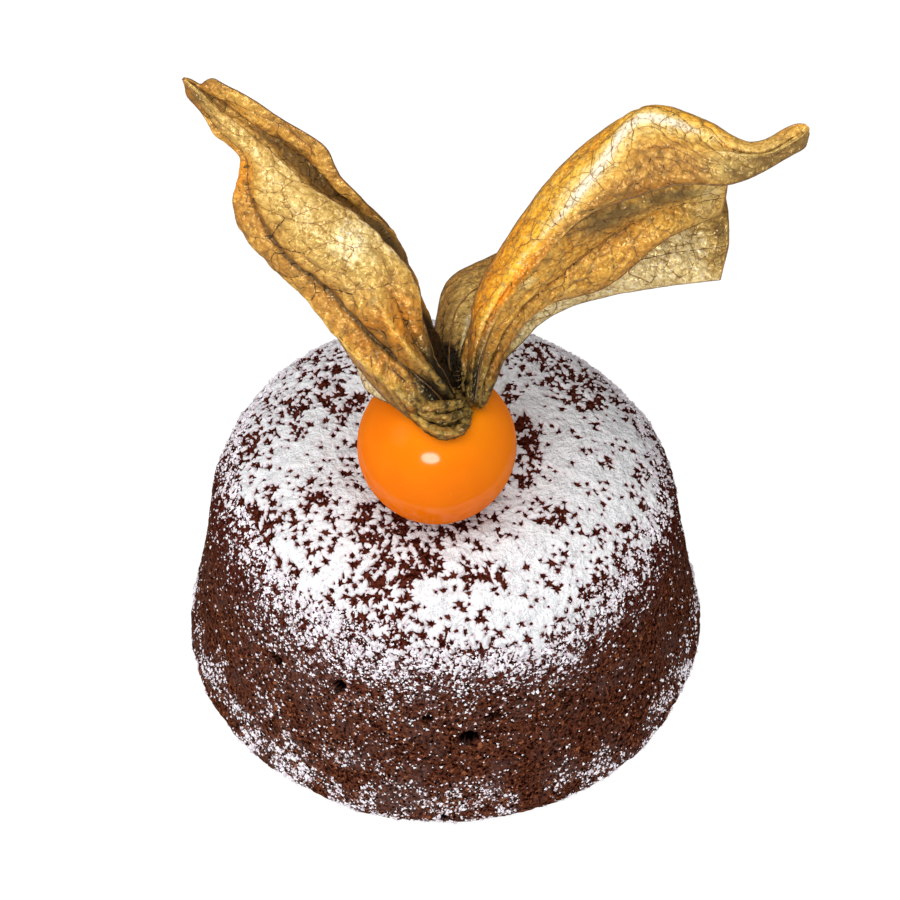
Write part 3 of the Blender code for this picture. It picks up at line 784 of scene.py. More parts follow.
def above_rim(right, back):
    """How far above the ragged rim of the crown's sugar each point lies."""
    angle, along = rolled(right, back)
    around = np.stack((np.cos(angle) * 34, np.sin(angle) * 34, along * 0.3), -1)
    return along - rim_height(angle) - uneven(around, (1.5, 2.6, 23), (1.2, 1.1, 24))


def openness(right, back):
    """What share of the crown the star-shaped gaps leave bare at each point."""
    flat = np.stack((right, back, 0 * right), -1)
    share = 0.155 - 0.060 * smoothstep(-8, 8, right) * (1 - smoothstep(14, 26, np.abs(back + 6)))
    share += uneven(flat, (0.16, 3.4, 21), (0.14, 1.6, 22))
    for x, y, radius, barer in BARE_PATCHES:
        share += 0.68 * barer * bell(np.hypot(right - x, back - y), radius)
    share = np.minimum(share, MOST_GAPS)
    return np.clip(share + 0.60 * (1 - smoothstep(-3.0, 4.5, above_rim(right, back))), 0.03, 0.95)


def grid_windows(right, back, window, count):
    """Nodes of the square grid round each place, one at a time.

    Each time: which are on the grid, their numbers, and how many steps across and away they are.
    """
    column, row = (right + SUGAR_REACH) / SUGAR_STEP, (back + SUGAR_REACH) / SUGAR_STEP
    near_column, near_row = np.rint(column).astype(int), np.rint(row).astype(int)
    for a, b in itertools.product(range(-window, window + 1), repeat=2):
        i, j = near_column + a, near_row + b
        ok = (i >= 0) & (i < count) & (j >= 0) & (j < count)
        yield ok, (j * count + i)[ok], i - column, j - row


def star_gaps(chance):
    """The gaps' places and sizes, how many arms each has, and its arms' ends."""
    rows, columns = (int(2 * SUGAR_REACH / (pitch * GAP_SPACING)) for pitch in (ROW_PITCH, 1))
    places = honeycomb(rows, columns, GAP_SPACING) - SUGAR_REACH
    places += chance.uniform(-JITTER, JITTER, places.shape) * GAP_SPACING
    share = openness(*places)
    kept = chance.uniform(0, 1, len(share)) < share / GAP_SHARE_FULL
    places, share = places[:, kept], share[kept]
    size = (GAP_SIZE[0] + GAP_SIZE[1] * share) * chance.uniform(0.55, 1.45, len(share))
    arms = chance.integers(5, GAP_ARMS + 1, len(share))
    turn = chance.uniform(0, math.tau, len(share))
    lengths = size * chance.uniform(*GAP_ARM_LENGTHS, (GAP_ARMS, len(share)))
    spread = np.arange(GAP_ARMS)[:, None] + chance.uniform(-0.25, 0.25, lengths.shape)
    ways = turn + spread * math.tau / arms
    return places, size, arms, (lengths * np.cos(ways), lengths * np.sin(ways))


def outside_gaps(chance, count):
    """For a square grid of nodes: how far each lies outside the star-shaped gaps."""
    (right, back), size, arms, (x, y) = star_gaps(chance)
    outside = np.full(count * count, 0.4)
    window = int(size.max() * GAP_ARM_LENGTHS[1] / SUGAR_STEP) + 2
    for ok, node, across, away in grid_windows(right, back, window, count):
        across, away = across * SUGAR_STEP, away * SUGAR_STEP
        nearest = np.full(len(size), 9.0)
        for k in range(GAP_ARMS):
            t = np.clip((across * x[k] + away * y[k]) / (x[k] ** 2 + y[k] ** 2), 0, 1)
            off = np.hypot(across - t * x[k], away - t * y[k])
            off += 0.03 - GAP_ARM * size * (1 - t) ** 0.8
            nearest = np.where((k < arms) & (off < nearest), off, nearest)
        np.minimum.at(outside, node, nearest[ok])
    return outside


def sugar_clumps(chance):
    """Places, radii and heights of the clumps that make up the sugar on the crown."""
    small, large = CLUMP_RADII
    mean_area = math.pi * (small * small + small * large + large * large) / 3
    most = -math.log(1 - MOST_COVER) / mean_area
    count = int(most * (2 * SUGAR_REACH) ** 2)
    right, back = chance.uniform(-SUGAR_REACH, SUGAR_REACH, (2, count))
    full = smoothstep(-5.0, -1.0, above_rim(right, back))
    cover = LEAST_COVER + (MOST_COVER - LEAST_COVER) * full
    kept = chance.uniform(0, most, count) < -np.log(1 - cover) / mean_area
    right, back = right[kept], back[kept]
    radius = chance.uniform(small, large, len(right))
    return right, back, radius, chance.uniform(*CLUMP_HEIGHTS, len(right))


def spread_clumps(count, right, back, radius, tall):
    """For a square grid of nodes: how far inside the clumps each is, and how high they rise."""
    inside = np.full(count * count, -0.3)
    raised = np.zeros(count * count)
    number = np.arange(count * count)
    flat = np.stack((number % count, number // count, 0 * number), -1) * SUGAR_STEP
    frayed = [uneven(flat, (0.10, 0.5, seed)) / SUGAR_STEP for seed in (27, 28)]
    window = math.ceil(CLUMP_WINDOW / SUGAR_STEP)
    for ok, node, across, away in grid_windows(right, back, window, count):
        off = np.hypot(across[ok] + frayed[0][node], away[ok] + frayed[1][node]) * SUGAR_STEP
        np.maximum.at(inside, node, radius[ok] - off)
        cap = tall[ok] * np.sqrt(np.clip(1 - (off / radius[ok]) ** 2, 0, 1))
        np.maximum.at(raised, node, cap)
    return inside, raised


def fan_faces(full, count):
    """Faces of the two-step cells that are all sugar: a fan round each one's middle node.

    A side has a node halfway only where the cell across it is cut finely.
    """
    j, i = np.nonzero(full)
    corners = ((0, 0), (0, 1), (0, 2), (1, 2), (2, 2), (2, 1), (2, 0), (1, 0), (0, 0))
    around = [(2 * j + a) * count + 2 * i + b for a, b in corners]
    middle = (2 * j + 1) * count + 2 * i + 1
    padded = np.pad(full, 1)
    faces = []
    for side, (down, left) in enumerate(((-1, 0), (0, 1), (1, 0), (0, -1))):
        first, half, last = around[2 * side:2 * side + 3]
        plain = padded[j + 1 + down, i + 1 + left]
        for start, end, some in ((first, last, plain), (first, half, ~plain), (half, last, ~plain)):
            faces.append(np.stack((start, end, middle), -1)[some])
    return np.vstack(faces)


def cut_at_zero(triangles, values):
    """Triangles cut where the value passes zero; the cut points come after the nodes.

    Returns the triangles left on the positive side, and for each cut point its two nodes and
    how far it is from the first to the second.
    """
    positive = values[triangles] > 0
    number = positive.sum(axis=1)
    pairs, pieces = [], []
    for wanted in (1, 2):
        some = triangles[number == wanted]
        flags = positive[number == wanted]
        odd = np.argmax(flags if wanted == 1 else ~flags, axis=1)
        a, b, c = (some[np.arange(len(some)), (odd + k) % 3] for k in range(3))
        pairs += [np.stack((a, b), -1), np.stack((a, c), -1)]
        pieces.append((a, b, c))
    cuts, place = np.unique(np.sort(np.vstack(pairs), axis=1), axis=0, return_inverse=True)
    place = np.split(place.ravel() + len(values), np.cumsum([len(pair) for pair in pairs])[:-1])
    (a, _, _), (_, b, c) = pieces
    faces = np.vstack((triangles[number == 3], np.stack((a, place[0], place[1]), -1),
                       np.stack((place[2], b, c), -1), np.stack((place[2], c, place[3]), -1)))
    low, high = values[cuts[:, 0]], values[cuts[:, 1]]
    return faces, cuts, low / (low - high)


def sugar_triangles(inside, count):
    """Triangles over the nodes inside the sugar, coarse in its middle and cut along its edge."""
    square = (inside > 0).reshape(count, count)
    full = np.ones((count // 2, count // 2), bool)
    for a, b in itertools.product(range(3), repeat=2):
        full &= square[a:a + count - 2:2, b:b + count - 2:2]
    quads = grid_faces(count, count)
    row, column = quads[:, 0] // count, quads[:, 0] % count
    keep = ~full[row // 2, column // 2]
    quads, flip = quads[keep], ((row + column) % 2 == 0)[keep, None]
    one = np.where(flip, quads[:, (0, 1, 2)], quads[:, (0, 1, 3)])
    two = np.where(flip, quads[:, (0, 2, 3)], quads[:, (1, 2, 3)])
    triangles, cuts, share = cut_at_zero(np.vstack((one, two)), inside)
    return np.vstack((triangles, fan_faces(full, count))), cuts, share


def make_sugar():
    chance = np.random.default_rng(SUGAR_SEED)
    count = int(SUGAR_REACH / SUGAR_STEP) * 2 + 1
    line = np.arange(count) * SUGAR_STEP - SUGAR_REACH
    right, back = (grid.ravel() for grid in np.meshgrid(line, line))
    gaps = outside_gaps(chance, count)
    inside, raised = spread_clumps(count, *sugar_clumps(chance))
    frayed = uneven(np.stack((right, back, 0 * right), -1), (1, 1.6, 34), (0.6, 0.6, 35))
    edge = SUGAR_REACH - 1.6 - np.hypot(right, back) + frayed
    inside = np.minimum(np.minimum(inside, gaps), edge)
    triangles, cuts, share = sugar_triangles(inside, count)
    low, high = cuts.T
    right, back = (np.append(values, values[low] * (1 - share) + values[high] * share)
                   for values in (right, back))
    inside, raised = (np.append(values, 0 * share) for values in (inside, raised))
    used, triangles = np.unique(triangles, return_inverse=True)
    right, back, inside, raised = (values[used] for values in (right, back, inside, raised))
    points, normals = on_crumb(right, back)
    bare = 1 - np.clip(inside / SUGAR_EDGE, 0, 1)
    drift = 0.18 + uneven(points, (0.20, 2.2, 25), (0.17, 1.0, 26))
    height = (1 - bare**2) * (drift + raised) - 0.04 * (inside < 1e-6)
    mesh = make_mesh("icing_sugar", points + normals * height[:, None], [triangles.reshape(-1, 3)])
    store(mesh, thin=bare)
    add_piece("icing_sugar", mesh, sugar_finish(), "crumb")


def make_grains():
    """Loose sugar grains on the side, each a small five-cornered crystal."""
    chance = np.random.default_rng(GRAIN_SEED)
    angle = chance.uniform(-math.pi, math.pi, GRAIN_TRIES)
    reach = REACH - chance.uniform(*GRAIN_BAND, GRAIN_TRIES)
    right, back = reach * np.cos(angle), reach * np.sin(angle)
    dust = dustiness(crust(right, back), right, back) * (bubble_depth(right, back) < 0.1)
    kept = np.flatnonzero(chance.uniform(0, 1, GRAIN_TRIES) < dust)[:MOST_GRAINS]
    points, normals = on_crumb(right[kept], back[kept])
    count = len(points)
    size = (0.08 + 0.32 * chance.beta(1.1, 2.6, count)) * (0.75 + 0.55 * dust[kept])
    turn = chance.uniform(0, math.tau, count)
    side = unit(np.cross(normals, chance.normal(size=(count, 3))))
    other = np.cross(normals, side)
    corners = []
    for k in range(3):
        way = turn + k * math.tau / 3
        wide = size * chance.uniform(0.7, 1.5, count)
        corners.append(side * (np.cos(way) * wide)[:, None] + other * (np.sin(way) * wide)[:, None])
    corners.append(normals * (size * chance.uniform(0.5, 1.0, count))[:, None])
    corners.append(-0.6 * normals * size[:, None])
    middle = points + normals * (0.2 * size)[:, None]
    spots = middle[:, None, :] + np.stack(corners, 1)
    pattern = np.array([(0, 1, 3), (1, 2, 3), (2, 0, 3), (1, 0, 4), (2, 1, 4), (0, 2, 4)])
    faces = (np.arange(count)[:, None, None] * 5 + pattern).reshape(-1, 3)
    mesh = make_mesh("sugar_grains", spots.reshape(-1, 3), [faces])
    mesh.shade_flat()
    add_piece("sugar_grains", mesh, grain_finish(), "crumb")


# ---------------------------------------------------------------- berry

def round_stem(local, centre):
    """Points given across and along the stem's direction, turned and moved to the centre."""
    side = unit(np.cross((0.0, 1.0, 0.0), STEM_DIRECTION))
    return centre + local @ np.stack((side, np.cross(STEM_DIRECTION, side), STEM_DIRECTION))


def outside_berry(points, room):
    away = points - BERRY_CENTRE
    far = np.linalg.norm(away, axis=1)
    return BERRY_CENTRE + away * (np.maximum(far, BERRY_RADIUS + room) / far)[:, None]


def make_berry():
    local, quads, caps = ball(*BERRY_GRID)
    placed = local * (BERRY_RADIUS * (1 + uneven(local * 10, (0.004, 7.0, 41))))[:, None]
    off, upper = np.hypot(placed[:, 0], placed[:, 1]), placed[:, 2] > 0
    placed[:, 2] -= STEM_DIMPLE_DEPTH * bell(off, STEM_DIMPLE_RADIUS) * upper
    points = round_stem(placed, BERRY_CENTRE)
    mesh = make_mesh("berry", points, [quads, caps])
    store(mesh, near_stem=bell(off, 2.2 * STEM_DIMPLE_RADIUS) * upper,
          # low: how far below the middle, for the painted shade on the underside.
          low=np.clip((BERRY_CENTRE[2] - points[:, 2]) / BERRY_RADIUS, 0, 1))
    add_piece("berry", mesh, berry_finish(), "berry_skin", "physalis_berry")


# ---------------------------------------------------------------- husk

def on_curves(points, share):
    """Points at these shares of smooth curves through points[k], for k numbered evenly."""
    points = np.asarray(points, float)
    spans = len(points) - 1
    at = np.clip(share, 0, 1) * spans
    i = np.minimum(at.astype(int), spans - 1)
    t = (at - i).reshape((-1,) + (1,) * (points.ndim - 1))
    ends = np.concatenate((2 * points[:1] - points[1:2], points, 2 * points[-1:] - points[-2:-1]))
    a, b, c, d = (ends[i + k] for k in range(4))
    return 0.5 * (2 * b + (c - a) * t + (2 * a - 5 * b + 4 * c - d) * t**2
                  + (3 * b - a - 3 * c + d) * t**3)


def blurred(grid, spread):
    """The grid softened across its columns, its two edges kept."""
    reach = math.ceil(2.5 * spread)
    weights = bell(np.arange(-reach, reach + 1), math.sqrt(2) * spread)
    weights /= weights.sum()
    first = 2 * grid[:, :1] - grid[:, reach:0:-1]
    last = 2 * grid[:, -1:] - grid[:, -2:-reach - 2:-1]
    wide = np.concatenate((first, grid, last), axis=1)
    count = grid.shape[1]
    return sum(weight * wide[:, k:k + count] for k, weight in enumerate(weights))


def sheet_normals(grid):
    normals = unit(np.cross(np.gradient(grid, axis=0), np.gradient(grid, axis=1)))
    return normals if normals.mean(axis=(0, 1)) @ FRONT > 0 else -normals


def cell_seeds(low, high, cell, chance):
    """Middles of the cells between veins: a jittered honeycomb over the flattened sheet."""
    rows = int((high[0] - low[0]) / (cell * ROW_PITCH)) + 4
    columns = int((high[1] - low[1]) / cell) + 4
    aside, along = honeycomb(rows, columns, cell) - 1.5 * cell * np.array(((1,), (ROW_PITCH,)))
    seeds = np.stack((low[0] + along, low[1] + aside), -1)
    return seeds + chance.uniform(-JITTER, JITTER, seeds.shape) * cell


def cell_edges(seeds):
    """The lines between neighbouring cells, as pairs of end points."""
    _, _, triangles, _, _, _ = delaunay_2d_cdt([Vector(seed) for seed in seeds], [], [], 0, 1e-6)
    centres, sides = [], {}
    for number, triangle in enumerate(triangles):
        a, b, c = (seeds[k] for k in triangle)
        double = 2 * ((b[0] - a[0]) * (c[1] - a[1]) - (b[1] - a[1]) * (c[0] - a[0]))
        ab, ac = b @ b - a @ a, c @ c - a @ a
        centres.append(((ab * (c[1] - a[1]) - ac * (b[1] - a[1])) / double,
                        (ac * (b[0] - a[0]) - ab * (c[0] - a[0])) / double))
        for k in range(3):
            side = tuple(sorted((triangle[k], triangle[(k + 1) % 3])))
            sides.setdefault(side, []).append(number)
    centres = np.array(centres)
    return [centres[pair] for pair in sides.values() if len(pair) == 2]


def edge_gap(places, seeds):
    """How much farther the second nearest cell is than the nearest: 0 on a vein."""
    gap = np.empty(len(places))
    for start in range(0, len(places), 2000):
        block = places[start:start + 2000]
        nearest = np.partition(np.linalg.norm(block[:, None, :] - seeds, axis=2), 1, axis=1)
        gap[start:start + 2000] = nearest[:, 1] - nearest[:, 0]
    return gap


def tube(path, radii, sides):
    """Points and faces of a closed tube along a path."""
    way = unit(np.gradient(path, axis=0))
    one = unit(np.cross(way, ANY_WAY))
    two = np.cross(way, one)
    turn = np.arange(sides)[None, :, None] * math.tau / sides
    rings = one[:, None, :] * np.cos(turn) + two[:, None, :] * np.sin(turn)
    rings *= np.broadcast_to(radii, len(path))[:, None, None]
    points = (path[:, None, :] + rings).reshape(-1, 3)
    count, ring = len(points), np.arange(sides)
    caps = cap_faces(ring[::-1], count), cap_faces(count - sides + ring, count + 1)
    faces = halves(grid_faces(len(path), sides, wrap=True)), *caps
    return np.vstack((points, path[0], path[-1])), np.vstack(faces)


class Bundle:
    """Tubes and hairs gathered into one mesh, each as pale as the paper it lies on."""

    def __init__(self):
        self.points, self.faces, self.tones, self.count = [], [], [], 0

    def add(self, points, faces, tone=0.3):
        self.points.append(points)
        self.faces.append(faces + self.count)
        self.tones.append(np.full(len(points), tone))
        self.count += len(points)

    def mesh(self, name):
        mesh = make_mesh(name, np.vstack(self.points), [np.vstack(self.faces)])
        store(mesh, pale=np.concatenate(self.tones))
        return mesh


class Sheet:
    """One wing of the husk, and its flattened places: along it and across it, in millimetres."""

    def __init__(self, wing):
        self.wing = PLAIN_WING | wing
        chance = np.random.default_rng(wing["seed"])
        self.spread_rails()
        self.lay_flat()
        self.push_edges()
        self.seeds, self.fine_seeds = (cell_seeds(self.low, self.high, cell, chance)
                                       for cell in wing["cells"])
        self.bend()
        self.pale = self.tone(wing["pale"], 3)

    def spread_rails(self):
        """A fine grid of points: rows along the wing, columns from the first rail to the last."""
        rails = np.asarray(self.wing["rails"], float).transpose(1, 0, 2)
        rough = on_curves(rails, np.linspace(0, 1, 60))
        length = np.linalg.norm(np.diff(rough, axis=0), axis=2).sum(axis=0).max()
        widths = np.linalg.norm(np.diff(rough, axis=1), axis=2).max(axis=0)
        lines = on_curves(rails, np.linspace(0, 1, int(length / SHEET_STEP)))
        panels, self.rail_columns, share = [], [0], []
        for k, width in enumerate(widths):
            count = max(int(width / SHEET_STEP), 3)
            t = np.arange(count) / count
            panels.append(lines[:, k, None] * (1 - t)[:, None] + lines[:, k + 1, None] * t[:, None])
            share.append(k + t)
            self.rail_columns.append(self.rail_columns[-1] + count)
        self.rail_share = np.concatenate((*share, [len(widths)]))
        self.grid = STEM_POINT + np.concatenate((*panels, lines[:, -1:]), axis=1)

    def lay_flat(self):
        middle = self.rail_columns[len(self.rail_columns) // 2]
        step = np.linalg.norm(np.diff(self.grid[:, middle], axis=0), axis=1)
        self.along = np.append(0, np.cumsum(step))
        across = np.linalg.norm(np.diff(self.grid, axis=1), axis=2)
        across = np.pad(np.cumsum(across, axis=1), ((0, 0), (1, 0)))
        self.aside = across - across[:, middle:middle + 1]
        self.width = np.ptp(self.aside, axis=1)
        self.rows, self.columns = self.aside.shape
        self.places = np.stack((np.repeat(self.along, self.columns), self.aside.ravel()), -1)
        self.low, self.high = self.places.min(axis=0), self.places.max(axis=0)

    def push_edges(self):
        """Pushes the free edges out and in, and rounds the tip."""
        for place, edge, out, half in self.wing["edges"]:
            start, end = self.rail_columns[-2:] if edge else self.rail_columns[1::-1]
            share = np.linspace(0, 1, abs(end - start) + 1) ** 1.5
            columns = np.linspace(start, end, len(share)).round().astype(int)
            way = unit(self.grid[:, end] - self.grid[:, start])
            push = out * bell(self.along - place * self.along[-1], half)
            self.grid[:, columns] += (way * push[:, None])[:, None, :] * share[None, :, None]
        if self.wing["round"]:
            left = np.clip((self.along[-1] - self.along) / self.wing["round"], 0, 1)
            narrow = np.sqrt(1 - (1 - left) ** 2)[:, None, None]
            middle = self.grid.mean(axis=1, keepdims=True)
            self.grid = middle + (self.grid - middle) * narrow

    def tone(self, profile, which):
        """A colour share for each point: its rail's, changed by the streaks and spots."""
        row = np.interp(self.rail_share, np.arange(len(profile)) / 2, profile)
        values = np.tile(row, self.rows)
        flat = self.grid.reshape(-1, 3)
        for streak in self.wing["streaks"]:
            values += streak[which + 2] * self.fold(*streak[:4], 1.0, streak[4])
        for spot in self.wing["spots"]:
            j = min(int(spot[0] * self.rows), self.rows - 1)
            i = int(np.interp(spot[1], self.rail_share, np.arange(self.columns)))
            values += spot[which] * bell(np.linalg.norm(flat - self.grid[j, i], axis=1), spot[2])
        return np.clip(values, -1, 1.6)

    def fold(self, start_along, start_aside, end_along, end_aside, height, half):
        """A ridge, or a valley where the height is below 0, that dies out at both ends."""
        scale = np.array((self.along[-1], self.width.max()))
        share = np.stack((np.repeat(np.linspace(0, 1, self.rows), self.columns),
                          np.tile(self.rail_share / self.rail_share[-1], self.rows)), -1)
        start = np.array((start_along, start_aside)) * scale
        way = np.array((end_along, end_aside)) * scale - start
        length = np.linalg.norm(way)
        way /= length
        from_start = share * scale - start
        t = from_start @ way / length
        off = np.abs(from_start @ (-way[1], way[0]))
        taper = smoothstep(-0.08, 0.25, t) * (1 - smoothstep(0.75, 1.08, t))
        return height * taper * np.exp(-((off / half) ** 1.5))

    def lift(self, height):
        """Moves the points out along the sheet's normals."""
        self.grid = self.grid + sheet_normals(self.grid) * height.reshape(self.rows, -1, 1)

    def bend(self):
        """Bulges the panels, then adds the folds, pleats, cells and crinkles."""
        share, bulge = self.rail_share, self.wing["bulge"]
        panel = np.minimum(share.astype(int), len(bulge) - 1)
        swell = np.array(bulge)[panel] * np.sin(math.pi * (share - panel)) ** 0.8
        flat_tip = 0.3 + 0.7 * smoothstep(0, 9, self.along[-1] - self.along)[:, None]
        room = np.clip(self.width / np.percentile(self.width, 75), 0.1, 1)[:, None]
        self.lift(swell[None, :] * room * flat_tip)
        self.grid = blurred(self.grid, 1.2)
        main = edge_gap(self.places - self.vein_shift(self.places), self.seeds)
        fine = edge_gap(self.places, self.fine_seeds)
        self.lift(self.crinkles(main, fine))
        sunk = self.wing["sink"] * bell(self.along, 3.2)
        self.grid = self.grid - sunk[:, None, None] * FRONT
        self.grid = outside_berry(self.grid.reshape(-1, 3), 0.15).reshape(self.rows, -1, 3)
        self.normals = sheet_normals(self.grid)
        self.vein = 1 - smoothstep(0.0, 0.35, np.minimum(main, fine * 1.6))
        # relief feeds the husk's colour: painted highlights on ridges, painted shade in hollows.
        self.relief = 1.6 * self.ridges(1) + 0.15 * self.ridges(3)

    def crinkles(self, main, fine):
        """How far out each point moves, from how far it is from the main and the fine veins."""
        seed, crumple, flat = self.wing["seed"], self.wing["crumple"], self.grid.reshape(-1, 3)
        along = self.places[:, 0]
        out = uneven(flat, (0.35, 5.5, seed), (0.17, 2.2, seed + 1), (0.05, 0.9, seed + 2))
        out *= crumple
        out += 0.17 * smoothstep(0.0, 1.8, main) + 0.065 * smoothstep(0.0, 0.7, fine)
        pleat = np.sin(self.places[:, 1] * 4.2 + 1.2 * gradient_noise(flat, 2.0, seed + 3))
        out += 0.25 * crumple * pleat * np.exp(-along / 9.0)
        edge = np.minimum(self.aside - self.aside[:, :1], self.aside[:, -1:] - self.aside).ravel()
        out *= 0.45 + 0.55 * smoothstep(0, 5, along)
        out *= 0.3 + 0.7 * smoothstep(0, 5, along.max() - along)
        out *= 0.3 + 0.7 * smoothstep(0, 1.6, edge)
        return out + sum(self.fold(*fold) for fold in self.wing["folds"])

    def ridges(self, reach):
        """How far each point stands out from the points this many columns to its sides."""
        wide = np.pad(self.grid, ((0, 0), (reach, reach), (0, 0)), "edge")
        middle = 0.5 * (wide[:, 2 * reach:] + wide[:, :-2 * reach])
        out = np.einsum("ijk,ijk->ij", self.grid - middle, self.normals)
        out[:, :reach], out[:, -reach:] = 0, 0
        return out.ravel()

    def at(self, places):
        """Points of the sheet at these flattened places, how pale, and whether all are on it."""
        j = np.clip(np.interp(places[:, 0], self.along, np.arange(self.rows)), 0, self.rows - 1.001)
        columns = np.arange(self.columns)
        points, pale, hollow, ok = np.empty((len(places), 3)), 0.0, 0.0, True
        for k, (along, aside) in enumerate(places):
            low, v = int(j[k]), j[k] % 1
            row = self.aside[low] * (1 - v) + self.aside[low + 1] * v
            line = self.grid[low] * (1 - v) + self.grid[low + 1] * v
            i = min(float(np.interp(aside, row, columns)), columns[-1] - 0.001)
            points[k] = line[int(i)] * (1 - i % 1) + line[int(i) + 1] * (i % 1)
            ok &= bool(row[0] <= aside <= row[-1] and 0 <= along <= self.along[-1])
            node = low * self.columns + int(round(i))
            pale += self.pale[node] / len(places)
            hollow = min(hollow, self.relief[node])
        # Tubes that cross a deep hollow of the sheet are made darker: painted shade.
        return points, pale + 2 * min(hollow + 0.12, 0), ok

    def make(self, finish, *nodes):
        count = self.rows * self.columns
        out = self.normals * 0.5 * SHEET_THICKNESS
        sides = [side.reshape(-1, 3) for side in (self.grid + out, self.grid - out)]
        quads = grid_faces(self.rows, self.columns)
        a, b, c, d = (sides[0][quads[:, k]] for k in range(4))
        normals = self.normals.reshape(-1, 3)[quads[:, 0]]
        facing = np.einsum("ij,ij->i", np.cross(c - a, d - b), normals)
        number = np.arange(count).reshape(self.rows, self.columns)
        rim = np.concatenate((number[0], number[1:, -1], number[-1, -2::-1], number[-2:0:-1, 0]))
        if facing.mean() < 0:
            quads, rim = quads[:, ::-1], rim[::-1]
        follow = np.roll(rim, -1)
        wall = np.stack((follow, rim, rim + count, follow + count), -1)
        name = "husk_" + self.wing["name"]
        mesh = make_mesh(name, np.vstack(sides), [quads, quads[:, ::-1] + count, wall])
        store(mesh, near_stem=np.tile(np.exp(-self.places[:, 0] / 11.0), 2),
              vein=np.tile(self.vein, 2), pale=np.tile(self.pale, 2),
              warm=np.tile(self.tone(self.wing["warm"], 4), 2),
              relief=np.append(self.relief, -self.relief))
        add_piece(name, mesh, finish, "husk", *nodes)

    def vein_shift(self, places):
        """What bends the straight lines between the main cells into the curves of veins."""
        flat = np.pad(places, ((0, 0), (0, 1)))
        seed = self.wing["seed"] + 7
        return 0.45 * np.stack([gradient_noise(flat + 9 * k, 2.4, seed + k) for k in range(2)], -1)

    def add_net(self, bundle, seeds, radius, step, warped):
        for start, end in cell_edges(seeds):
            length = np.linalg.norm(end - start)
            beside = (np.minimum(start, end) > self.high) | (np.maximum(start, end) < self.low)
            if beside.any() or length < 0.12:
                continue
            share = np.linspace(0, 1, int(length / step) + 2)[:, None]
            places = start * (1 - share) + end * share
            points, pale, ok = self.at(places + self.vein_shift(places) if warped else places)
            if ok and (warped or pale > -0.3):
                bundle.add(*tube(points, radius, 4), pale)

    def add_ribs(self, bundle):
        """Ribs on the folds, and the dark hem of the free edge at the tip."""
        for column, radius in zip(self.rail_columns, self.wing["ribs"]):
            if radius:
                path = (self.grid + 0.05 * self.normals)[::2, column]
                bundle.add(*tube(path, radius * np.linspace(1.0, 0.45, len(path)), 6), 0.0)
        bundle.add(*tube(self.grid[-1], HEM_RADIUS, 5))


def add_gather(bundle, number, course, radius):
    """One gather: a tube along its course with creases along it, painted paler where it faces
    outwards and painted black where it turns in towards the berry, as painted light and shade.
    """
    share = np.linspace(0, 1, GATHER_RINGS)
    path = outside_berry(STEM_POINT + on_curves(course, share), 0.6 * radius)
    path += 0.12 * np.stack([gradient_noise(path, 1.5, 80 + number + k) for k in range(3)], -1)
    radii = radius * np.sqrt(np.clip(np.sin(math.pi * (0.04 + 0.92 * share)), 0.02, 1))
    points, faces = tube(path, radii, GATHER_SIDES)
    crease = np.arange(len(points)) % GATHER_SIDES * math.tau / GATHER_SIDES
    swell = 0.16 * np.sin(5 * crease + 4 * gradient_noise(points, 2.5, 90 + number))
    swell += uneven(points, (0.18, 0.7, 91 + number))
    middle = np.vstack((np.repeat(path, GATHER_SIDES, axis=0), path[0], path[-1]))
    outwards = np.einsum("ij,ij->i", unit(points - middle), unit(middle - BERRY_CENTRE))
    points = middle + (points - middle) * (1 + swell)[:, None]
    bundle.add(outside_berry(points, 0.03), faces, 1.1 * np.clip(outwards, -0.6, 1) - 0.52)


def make_knuckle(finish):
    """The gathered base of the husk: a knot round the stem under curved folds."""
    bundle = Bundle()
    local, quads, caps = ball(*KNOT_GRID)
    rough = 1 + uneven(local, (0.10, 0.35, 72), (0.05, 0.12, 73))
    points = round_stem(local * KNOT_SIZE * rough[:, None], STEM_POINT + KNOT_SHIFT)
    bundle.add(outside_berry(points, 0.05), np.vstack((halves(quads), caps)), -0.1)
    for number, (course, radius) in enumerate(GATHERS):
        add_gather(bundle, number, course, radius)
    mesh = bundle.mesh("husk_knuckle")
    points = np.vstack(bundle.points)
    far = np.linalg.norm(points - STEM_POINT, axis=1)
    # On the knuckle, relief is noise, not its shape, and changes its tone at random.
    store(mesh, near_stem=0.80 - 0.35 * smoothstep(2.5, 8.0, far), vein=0 * far, warm=0 * far + 0.6,
          relief=uneven(points, (0.16, 0.7, 95)))
    add_piece("husk_knuckle", mesh, finish, "husk")


def make_hairs(finish):
    """Short hairs on the husk's base."""
    chance = np.random.default_rng(HAIR_SEED)
    bundle = Bundle()
    for _ in range(HAIRS):
        course, radius = GATHERS[chance.integers(len(GATHERS))]
        root = on_curves(course, chance.uniform(0.05, 0.95, 1))[0]
        way = unit(chance.normal(size=3) + (0.0, -0.5, 0.6))
        start = outside_berry((STEM_POINT + root + way * radius * 0.8)[None], 0.1)[0]
        curl = 0.25 * chance.normal(size=3)
        share = np.linspace(0, 1, 5)[:, None]
        path = start + (way * share + curl * share**2) * chance.uniform(0.5, 1.5)
        bundle.add(*tube(outside_berry(path, 0.1), HAIR_RADIUS * (1.1 - share[:, 0]), 3), 0.6)
    add_piece("husk_hairs", bundle.mesh("husk_hairs"), finish, "husk")


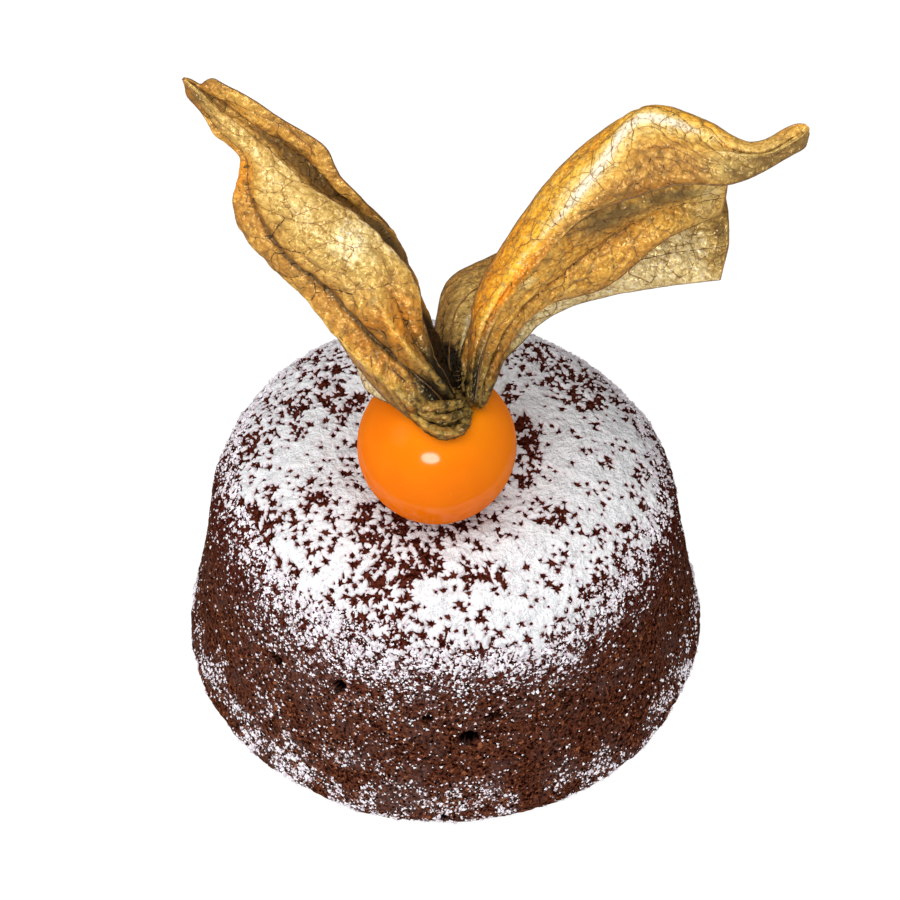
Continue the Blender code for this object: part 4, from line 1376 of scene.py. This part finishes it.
def make_husk():
    paper = husk_finish()
    veins, net = Bundle(), Bundle()
    for number, wing in enumerate(WINGS):
        sheet = Sheet(wing)
        sheet.make(paper, *(("physalis_husk",) if number == 0 else ()))
        sheet.add_net(veins, sheet.seeds, VEIN_RADIUS, VEIN_STEP, True)
        sheet.add_net(net, sheet.fine_seeds, NET_RADIUS, NET_STEP, False)
        sheet.add_ribs(veins)
    add_piece("husk_veins", veins.mesh("husk_veins"), vein_finish(), "husk")
    add_piece("husk_net", net.mesh("husk_net"), net_finish(), "husk")
    make_knuckle(paper)
    make_hairs(net_finish())


# ---------------------------------------------------------------- stage

def make_floor():
    mesh = bpy.data.meshes.new("floor")
    corners = [(x * FLOOR_HALF, y * FLOOR_HALF, 0) for x, y in ((-1, -1), (1, -1), (1, 1), (-1, 1))]
    mesh.from_pydata(corners, [], [(0, 1, 2, 3)])
    mesh.materials.append(Finish("floor").done(
        Roughness=0.9, Base_Color=(0.10, 0.10, 0.10), Specular_IOR_Level=0.0,
        Emission_Color=(1.0, 1.0, 1.0), Emission_Strength=0.95))
    floor = put_in_scene("floor", mesh)
    floor.visible_glossy = False


def point_at(thing, away):
    """Turns a lamp or camera, which look down their own z axis, so that away is behind it."""
    thing.rotation_mode = "QUATERNION"
    thing.rotation_quaternion = away.to_track_quat("Z", "Y")


def make_light():
    for name, turn, rise, distance, width, height, power, glossy in LAMPS:
        light = bpy.data.lights.new(name, "AREA")
        light.shape = "ELLIPSE"
        light.size, light.size_y = width, height
        light.energy = power
        turn, rise = math.radians(turn), math.radians(rise)
        flat, up = math.cos(rise), math.sin(rise)
        away = Vector((-math.sin(turn) * flat, -math.cos(turn) * flat, up))
        lamp = put_in_scene(name, light)
        lamp.visible_glossy = glossy
        lamp.location = LAMP_TARGET + away * distance
        point_at(lamp, away)
    world = bpy.data.worlds.new("studio")
    bpy.context.scene.world = world
    world.use_nodes = True
    background = world.node_tree.nodes["Background"].inputs
    background["Color"].default_value = (1.0, 1.0, 1.0, 1.0)
    background["Strength"].default_value = WORLD_STRENGTH
    bpy.context.scene.view_settings.view_transform = "Standard"


def make_camera():
    data = bpy.data.cameras.new("camera")
    data.lens = CAMERA_LENS
    data.sensor_width = CAMERA_SENSOR
    camera = put_in_scene("camera", data)
    ahead = Vector((0, math.cos(CAMERA_DROP), -math.sin(CAMERA_DROP)))
    upward = Vector((0, math.sin(CAMERA_DROP), math.cos(CAMERA_DROP)))
    look = ahead + Vector((CAMERA_TURN, 0, 0)) + upward * CAMERA_LIFT
    camera.location = CAMERA_PLACE
    point_at(camera, -look)
    bpy.context.scene.camera = camera


make_camera()
make_light()
make_floor()
make_souffle()
make_sugar()
make_grains()
make_berry()
make_husk()
